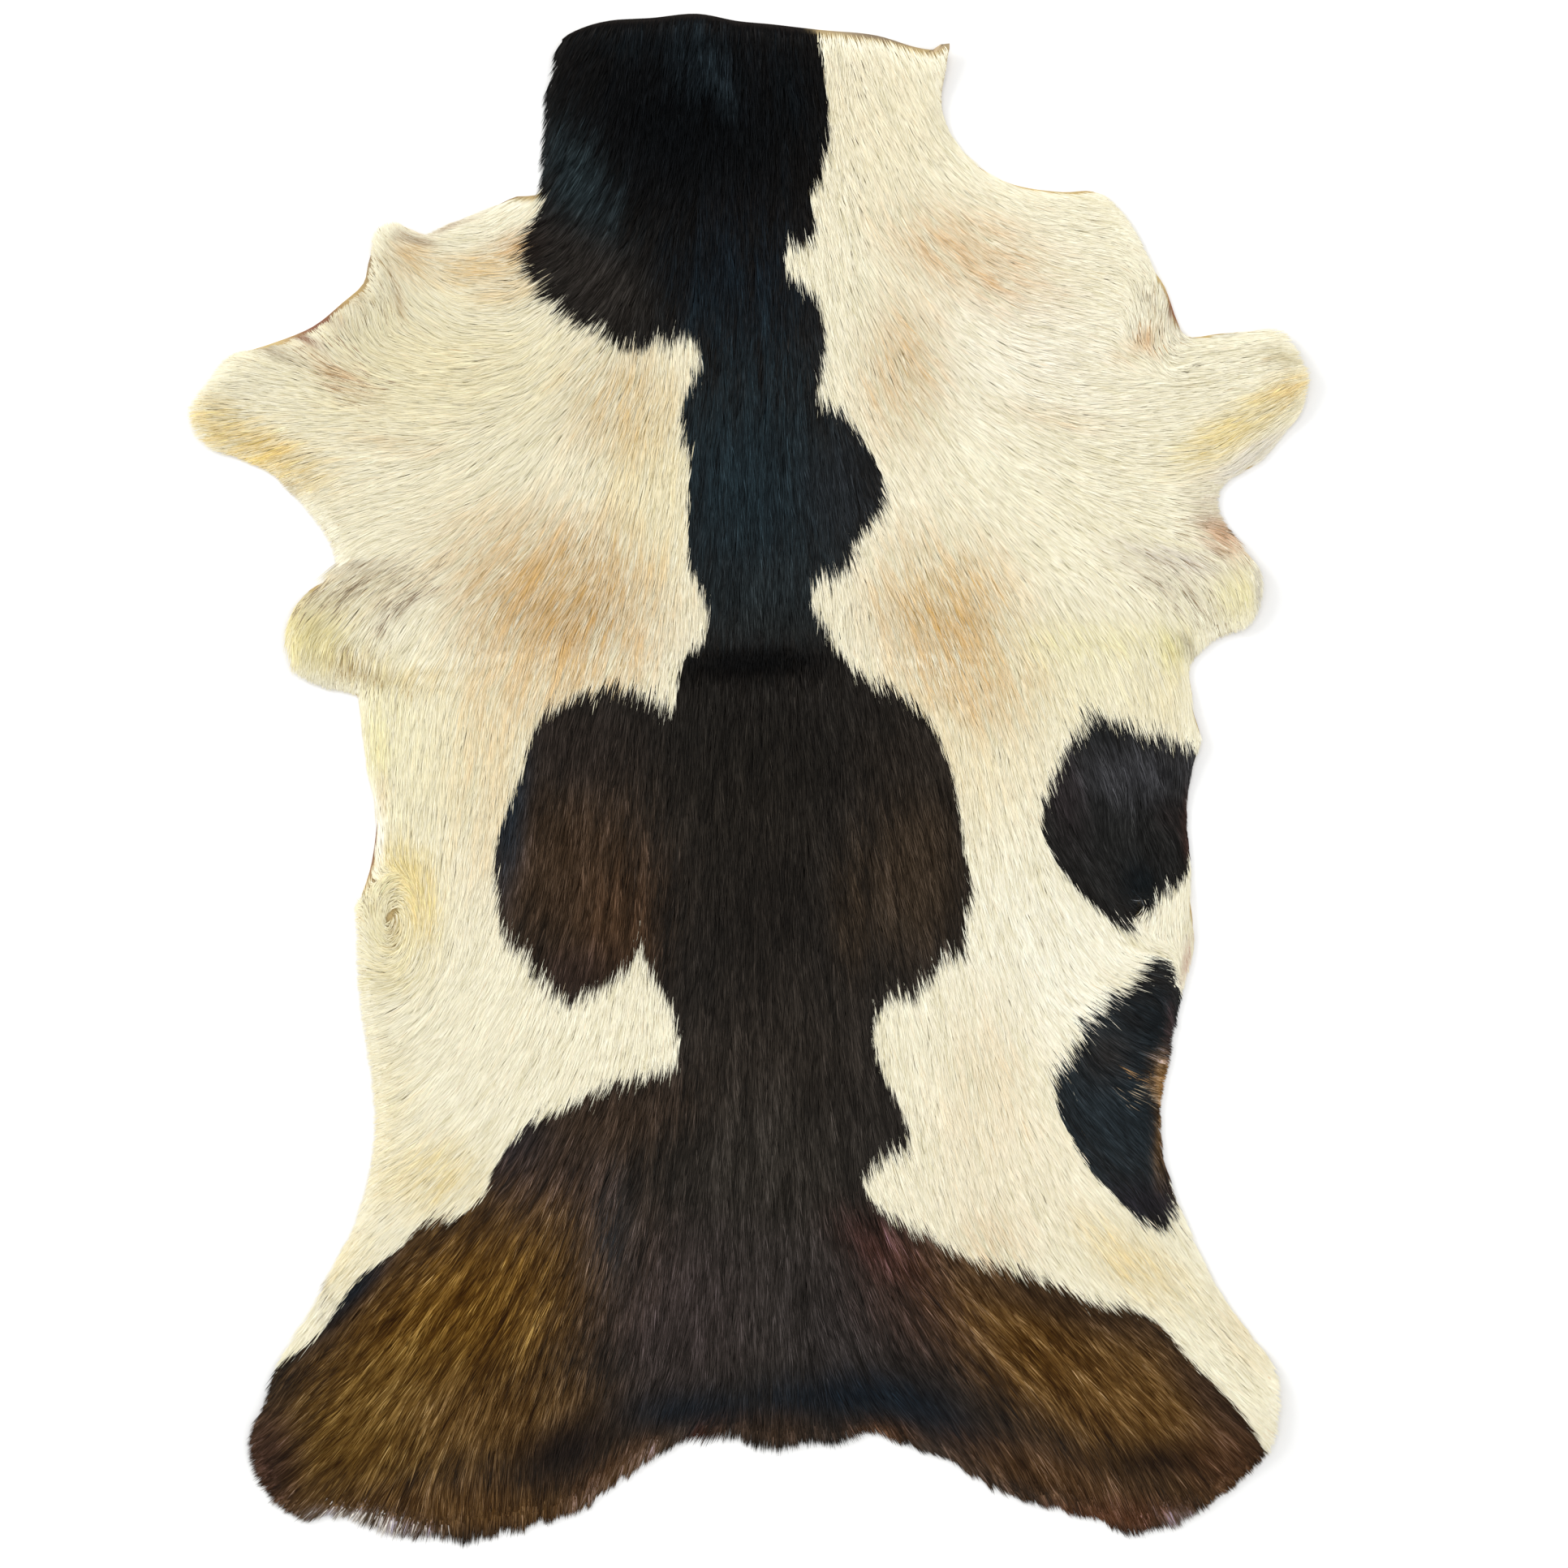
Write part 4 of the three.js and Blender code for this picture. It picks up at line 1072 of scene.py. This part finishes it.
def comb_coat(rng):
    """Root, middle and tip of every hair, in the plane, and its traits: the streaks that it
    belongs to, whether it is a guard hair, and where it lies from the coat's bottom to its top."""
    x, y = root = hair_roots(rng, settings().hair_spacing / MM)
    tuft_middle, tuft, tufts = nearest_tufts(rng, x, y, settings().tuft_size / MM)
    lock_middle, lock, locks = nearest_tufts(rng, x, y, LOCK_SIZE)
    outline, values = rim_outline(FINE_STEP)
    rim = distance_field(outline, FINE_PITCH, values[:, 2])
    flow = flow_field(COARSE_PITCH)
    fine = streak_field(rng, flow, *FINE_STREAK).read(x, y)
    broad = streak_field(rng, flow, *BROAD_STREAK).read(x, y)
    guard = rng.uniform(0, 1, x.shape) < GUARD_SHARE
    depth = rng.uniform(0, 1, x.shape)
    turn = rng.normal(0, TURN_BY_TUFT, tufts)[tuft]
    turn = turn + TURN_BY_STREAK * fine + TURN_BY_STREAK * broad
    turn += rng.normal(0, TURN_BY_HAIR, x.shape)
    length = hair_lengths(x, y) * (1 + LENGTH_BY_STREAK * fine)
    length = length * rng.uniform(*LENGTH_RANGE, x.shape)
    length *= np.where(guard, GUARD_LENGTH, 1)
    cos, sin = np.cos(turn), np.sin(turn)

    def way(place):
        way_x, way_y = lie_of_hair(flow, *place)
        return np.stack([way_x * cos - way_y * sin, way_x * sin + way_y * cos])

    first = way((root + tuft_middle) / 2)
    near_rim = np.clip(1 - rim.read(x, y) / LOCK_DEPTH, 0, 1)
    gather = LOCK_GATHER * near_rim
    gather = gather * np.clip(rim.read(x, y, rim.carried) / LOCK_TUFTS, 0, 1)
    draw = (tuft_middle - root) * (1 - gather) + (lock_middle - root) * gather
    held = (REACH_BY_HAIR * rng.uniform(0, 1, x.shape)
            + REACH_BY_TUFT * rng.uniform(0, 1, tufts)[tuft]
            + REACH_BY_LOCK * rng.uniform(0, 1, locks)[lock] ** LOCK_UNEVEN)
    tip_draw = TIP_DRAW + LOCK_DRAW * gather
    for _ in range(FITTING_ROUNDS):
        middle = root + first * length * BEND + draw * MIDDLE_DRAW
        tip = middle + way(middle) * length * (1 - BEND) + draw * tip_draw
        allowed = rim.read(*tip, rim.carried) * held + fringe_reach(*tip)
        over = rim.read(*tip) < -allowed
        length = np.where(over, length * SHORTENED, length)
    kept = ~over
    hairs = {"root": root, "middle": middle, "tip": tip, "tuft": tuft_middle}
    hairs = {name: places[:, kept] for name, places in hairs.items()}
    traits = {"fine": fine, "broad": broad, "guard": guard, "depth": depth}
    traits = {name: values[kept] for name, values in traits.items()}
    return hairs, traits, rim


def choose_dark(rng, hairs, traits):
    """Which hairs are dark. A hair goes by the marking a little past its middle, so that the
    hairs of both kinds lie over each other at the edges."""
    fine = traits["fine"]
    shift = MARK_PLACE + MARK_BY_STREAK * fine + rng.normal(0, MARK_BY_HAIR, fine.shape)
    along = (hairs["tip"] - hairs["root"]) * shift
    marks = marking_field()
    own = marks.read(*(hairs["root"] + along))
    shared = marks.read(*(hairs["tuft"] + along))
    return MARK_OWN * own + MARK_TUFT * shared + rng.normal(0, MARK_BLUR, fine.shape) > 0


def warmth_of(colour, gain, start):
    return np.clip((colour[:, 0] - colour[:, 2]) * gain - start, 0, 1)


def strength(parts, warmth):
    return parts[0] + parts[1] * warmth


def tone_light(light, streak, own):
    """Gives light hairs their tones. Tan ones vary more than cream ones."""
    tan = warmth_of(light, *LIGHT_WARMTH)
    tone = strength(LIGHT_BY_STREAK, tan) * streak + strength(LIGHT_BY_HAIR, tan) * own
    tone = tone[:, None]
    light *= np.exp(np.where(tone < 0, tone * LIGHT_SPREAD, tone) - LIGHT_SHIFT)


def tone_dark(deep, streak, own):
    """Gives dark hairs their tones. Brown ones vary more than black ones, golden ones less."""
    warmth = warmth_of(deep, *DARK_WARMTH)
    by_streak, by_hair = strength(DARK_BY_STREAK, warmth), strength(DARK_BY_HAIR, warmth)
    calm = 1 - np.clip((deep[:, 0] - CALM_FROM) * CALM_GAIN, 0, CALM_MOST)
    tone = (by_streak * streak + by_hair * own) * calm
    spread = 1 + (DARK_SPREAD - 1) * warmth[:, None]
    shift = DARK_SHIFT * ((by_streak ** 2 + by_hair ** 2) * calm)[:, None]
    deep *= np.exp(tone[:, None] * spread - shift)


def colour_coat(rng, hairs, traits):
    """Colour of every hair at its middle and at its tip: light or dark by the markings, then the
    soft areas of colour, then streaks, and a tone of its own, which holds painted shade that
    darkens the hairs lower in the coat."""
    fine, broad, depth = traits["fine"], traits["broad"], traits["depth"]
    count = len(fine)
    is_dark = choose_dark(rng, hairs, traits)
    streak = STREAK_PARTS[0] * fine + STREAK_PARTS[1] * broad
    streak = np.clip(streak, -TONE_LIMIT, TONE_LIMIT)
    own = OWN_PARTS[0] * rng.normal(0, 1, count) + OWN_PARTS[1] * (depth - MEAN_DEPTH)
    own = np.clip(own, -TONE_LIMIT, TONE_LIMIT)
    doubt = DOUBT_PARTS[0] * fine + DOUBT_PARTS[1] * broad
    doubt = doubt + DOUBT_PARTS[2] * rng.normal(0, 1, count)
    doubt = np.clip(doubt, -DOUBT_LIMIT, DOUBT_LIMIT)
    stained = rng.normal(STAIN_MIDDLE, STAIN_SPREAD, count) + STAIN_BY_STREAK * streak
    stained = np.clip(stained, 0, STAIN_MOST)[:, None]
    stain = rgb(STAIN_COLOUR)
    colours = []
    for place in ("middle", "tip"):
        x, y = hairs[place]
        light = blend_areas(x, y, settings().light_hair, CREAM_AREAS, doubt)
        light += (stain - light) * stained
        tone_light(light, streak, own)
        deep = blend_areas(x, y, settings().dark_hair, DARK_AREAS, doubt * DARK_DOUBT)
        tone_dark(deep, streak, own)
        colours.append(np.clip(np.where(is_dark[:, None], deep, light), DARKEST, BRIGHTEST))
    colour_strays_and_lock_shade(rng, hairs, traits, colours)
    return colours


def colour_strays_and_lock_shade(rng, hairs, traits, colours):
    """Gives single hairs the colour of their stray area; the dark ones on the elbow flaps and
    shoulders are painted shade between the locks. They gather along the streaks.
    """
    x, y = hairs["middle"]
    gathered = np.clip(1 + STRAY_BY_STREAK * traits["fine"], 0, STRAY_MOST)
    for *oval, code, share in STRAY_HAIRS_AND_LOCK_SHADE:
        chance = share * oval_rise(x, y, [(*oval, 1.0)]) * gathered
        picked = rng.uniform(0, 1, x.shape) < chance
        tone = np.exp(rng.normal(0, STRAY_TONE, x.shape))[picked, None]
        for colour in colours:
            colour[picked] = np.clip(rgb(code) * tone, 0, BRIGHTEST)


def coat_heights(hairs, traits, rim):
    """Heights of root, middle and tip: every hair keeps to its own layer of the coat, and the
    streaks stand a little over each other."""
    fine, broad = (np.clip(traits[name], -LAYER_LIMIT, LAYER_LIMIT) for name in ("fine", "broad"))
    layer = LAYER_LOWEST + LAYER_BY_DEPTH * traits["depth"]
    layer += LAYER_BY_FINE * fine + LAYER_BY_BROAD * broad
    layer = np.minimum(layer + LAYER_GUARD * traits["guard"], 1)
    heights = {}
    thickness = settings().skin_thickness / MM
    for name, rise in RISES.items():
        x, y = hairs[name]
        inside = rim.read(x, y)
        ground = np.where(inside > 0, skin_floor(x, y, inside) + thickness,
                          curl_lift(x, y) + CLEARANCE)
        top = np.maximum(coat_top(x, y, inside), ground + CLEARANCE)
        sink = ROOT_SINK if name == "root" else 0
        heights[name] = ground - sink + (top - ground) * layer * rise
    return heights


def hair_points(rng, hairs, heights, guard, width):
    """Four points a hair: its root, the two sides of its widest place, and its tip."""
    root, middle, tip = (np.column_stack([*hairs[name], heights[name]])
                         for name in ("root", "middle", "tip"))
    way = tip - root
    flat = np.hypot(way[:, 0], way[:, 1]) + 1e-6
    side = np.column_stack([-way[:, 1] / flat, way[:, 0] / flat, np.zeros(len(flat))])
    roll = rng.uniform(-HAIR_ROLL, HAIR_ROLL, len(flat))[:, None]
    thin = rng.uniform(*HALF_WIDTHS, len(flat)) * np.where(guard, GUARD_WIDTH, 1)
    half = width * thin[:, None]
    lean = side * np.cos(roll) + np.array([0.0, 0.0, 1.0]) * np.sin(roll)
    left = middle + lean * half
    right = middle - lean * half
    for points in (left, right):
        points[:, 2] = np.maximum(points[:, 2], FLOOR_GAP)
    return np.stack([root, right, tip, left], axis=1)


def paint_hairs(piece, middle, tip):
    """The colour along each hair, with painted shade at the root and a painted highlight at the
    tip. The root of a light hair is warmer and darker, and that of a dark one nearly black."""
    lightness = np.clip(middle[:, 1:2] * LIGHTNESS_GAIN, 0, 1)
    root = DARK_ROOT_SHADE * (1 - lightness) + LIGHT_ROOT_SHADE * lightness
    values = np.ones((len(middle), 4, 4), np.float32)
    values[:, :, :3] = middle[:, None, :]
    values[:, 0, :3] *= root
    values[:, 2, :3] = tip * TIP_SHINE
    layer = piece.data.color_attributes.new("hair_colour", "FLOAT_COLOR", "POINT")
    layer.data.foreach_set("color", np.clip(values, 0, 1).ravel())


def place_cells(piece, count):
    """One cell of the UV map for each hair, so that each keeps its own colour."""
    cells = math.ceil(math.sqrt(count))
    number = np.arange(count)
    corner = np.stack([number % cells, number // cells], axis=1)[:, None, :]
    # In the order of the faces' corners: root, right, left, then left, right, tip
    inside = np.array([(0.5, 0.1), (0.9, 0.5), (0.1, 0.5), (0.1, 0.5), (0.9, 0.5), (0.5, 0.9)])
    layer = piece.data.uv_layers.new(name="OFBake")
    layer.data.foreach_set("uv", ((corner + inside[None]) / cells).astype(np.float32).ravel())


def make_coat():
    """The coat: hairs that lie along the comb strokes, drawn together into tufts. It is made in
    five bands from the neck to the tail."""
    rng = np.random.default_rng(SEED)
    hairs, traits, rim = comb_coat(rng)
    middle, tip = colour_coat(rng, hairs, traits)
    heights = coat_heights(hairs, traits, rim)
    points = hair_points(rng, hairs, heights, traits["guard"], settings().hair_width / MM)
    material = goat_hair()
    order = np.argsort(-hairs["root"][1], kind="stable")
    pieces = []
    for name, band in zip(BANDS, np.array_split(order, len(BANDS))):
        first = np.arange(len(band))[:, None] * 4
        faces = (first + np.array([0, 1, 3, 3, 1, 2])).reshape(-1, 3)
        piece = new_mesh_object(name, points[band].reshape(-1, 3), faces, material)
        paint_hairs(piece, middle[band], tip[band])
        place_cells(piece, len(band))
        pieces.append(piece)
    return pieces


def make_stage():
    """Pale floor, soft light from above and from the upper left, and a camera that looks
    straight down on the hide."""
    bpy.ops.object.select_all(action="DESELECT")
    bpy.ops.mesh.primitive_plane_add(size=FLOOR_SIZE, location=(0, 0, 0))
    floor = bpy.context.object
    floor.name = "floor"
    floor.data.materials.append(studio_floor())
    for name, place, size, watts in LIGHTS:
        bpy.ops.object.light_add(type="AREA", location=place)
        light = bpy.context.object
        light.name = name
        light.data.shape = "SQUARE"
        light.data.size = size
        light.data.energy = watts
        x, y, z = place
        light.rotation_euler = (math.atan2(math.hypot(x, y), z), 0,
                                math.atan2(-y, -x) - math.pi / 2)
    world = bpy.data.worlds.new("studio")
    world.use_nodes = True
    sky = world.node_tree.nodes["Background"]
    sky.inputs["Color"].default_value = linear("#FFFFFF")
    sky.inputs["Strength"].default_value = SKY_STRENGTH
    bpy.context.scene.world = world
    bpy.context.scene.view_settings.view_transform = "Standard"
    bpy.ops.object.camera_add(location=CAMERA_PLACE, rotation=(0, 0, 0))
    camera = bpy.context.object
    camera.data.lens = LENS_MM
    camera.data.sensor_width = SENSOR_MM
    camera.data.clip_end = VIEW_END
    bpy.context.scene.camera = camera


# Operators, panel and registration

class GOATSKIN_OT_stage(bpy.types.Operator):
    """Make the floor, the lights and the camera"""
    bl_idname = "goatskin.stage"
    bl_label = "Studio"

    def execute(self, context):
        make_stage()
        return {"FINISHED"}


class GOATSKIN_OT_skin(bpy.types.Operator):
    """Make the tanned skin"""
    bl_idname = "goatskin.skin"
    bl_label = "Skin"

    def execute(self, context):
        skin = make_skin()
        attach(skin, "root")
        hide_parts("goatskin")
        return {"FINISHED"}


class GOATSKIN_OT_coat(bpy.types.Operator):
    """Make the coat of hair on the skin, which has to be there first"""
    bl_idname = "goatskin.coat"
    bl_label = "Coat"

    def execute(self, context):
        coat = make_coat()
        for piece in coat:
            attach(piece, "root")
        return {"FINISHED"}


class GOATSKIN_PT_panel(bpy.types.Panel):
    """Sizes, colours and pieces of the goatskin"""
    bl_idname = "GOATSKIN_PT_panel"
    bl_label = "Goatskin"
    bl_space_type = "VIEW_3D"
    bl_region_type = "UI"
    bl_category = "Goatskin"

    def draw(self, context):
        for name in GoatskinSettings.__annotations__:
            self.layout.prop(context.scene.goatskin, name)
        for operator in (GOATSKIN_OT_stage, GOATSKIN_OT_skin, GOATSKIN_OT_coat):
            self.layout.operator(operator.bl_idname)


CLASSES = (GoatskinSettings, GOATSKIN_OT_stage, GOATSKIN_OT_skin, GOATSKIN_OT_coat,
           GOATSKIN_PT_panel)


def register():
    for item in CLASSES:
        bpy.utils.register_class(item)
    bpy.types.Scene.goatskin = bpy.props.PointerProperty(type=GoatskinSettings)


def unregister():
    del bpy.types.Scene.goatskin
    for item in reversed(CLASSES):
        bpy.utils.unregister_class(item)


def main():
    register()
    bpy.ops.goatskin.stage()
    bpy.ops.goatskin.skin()
    bpy.ops.goatskin.coat()


if __name__ == "__main__":
    main()
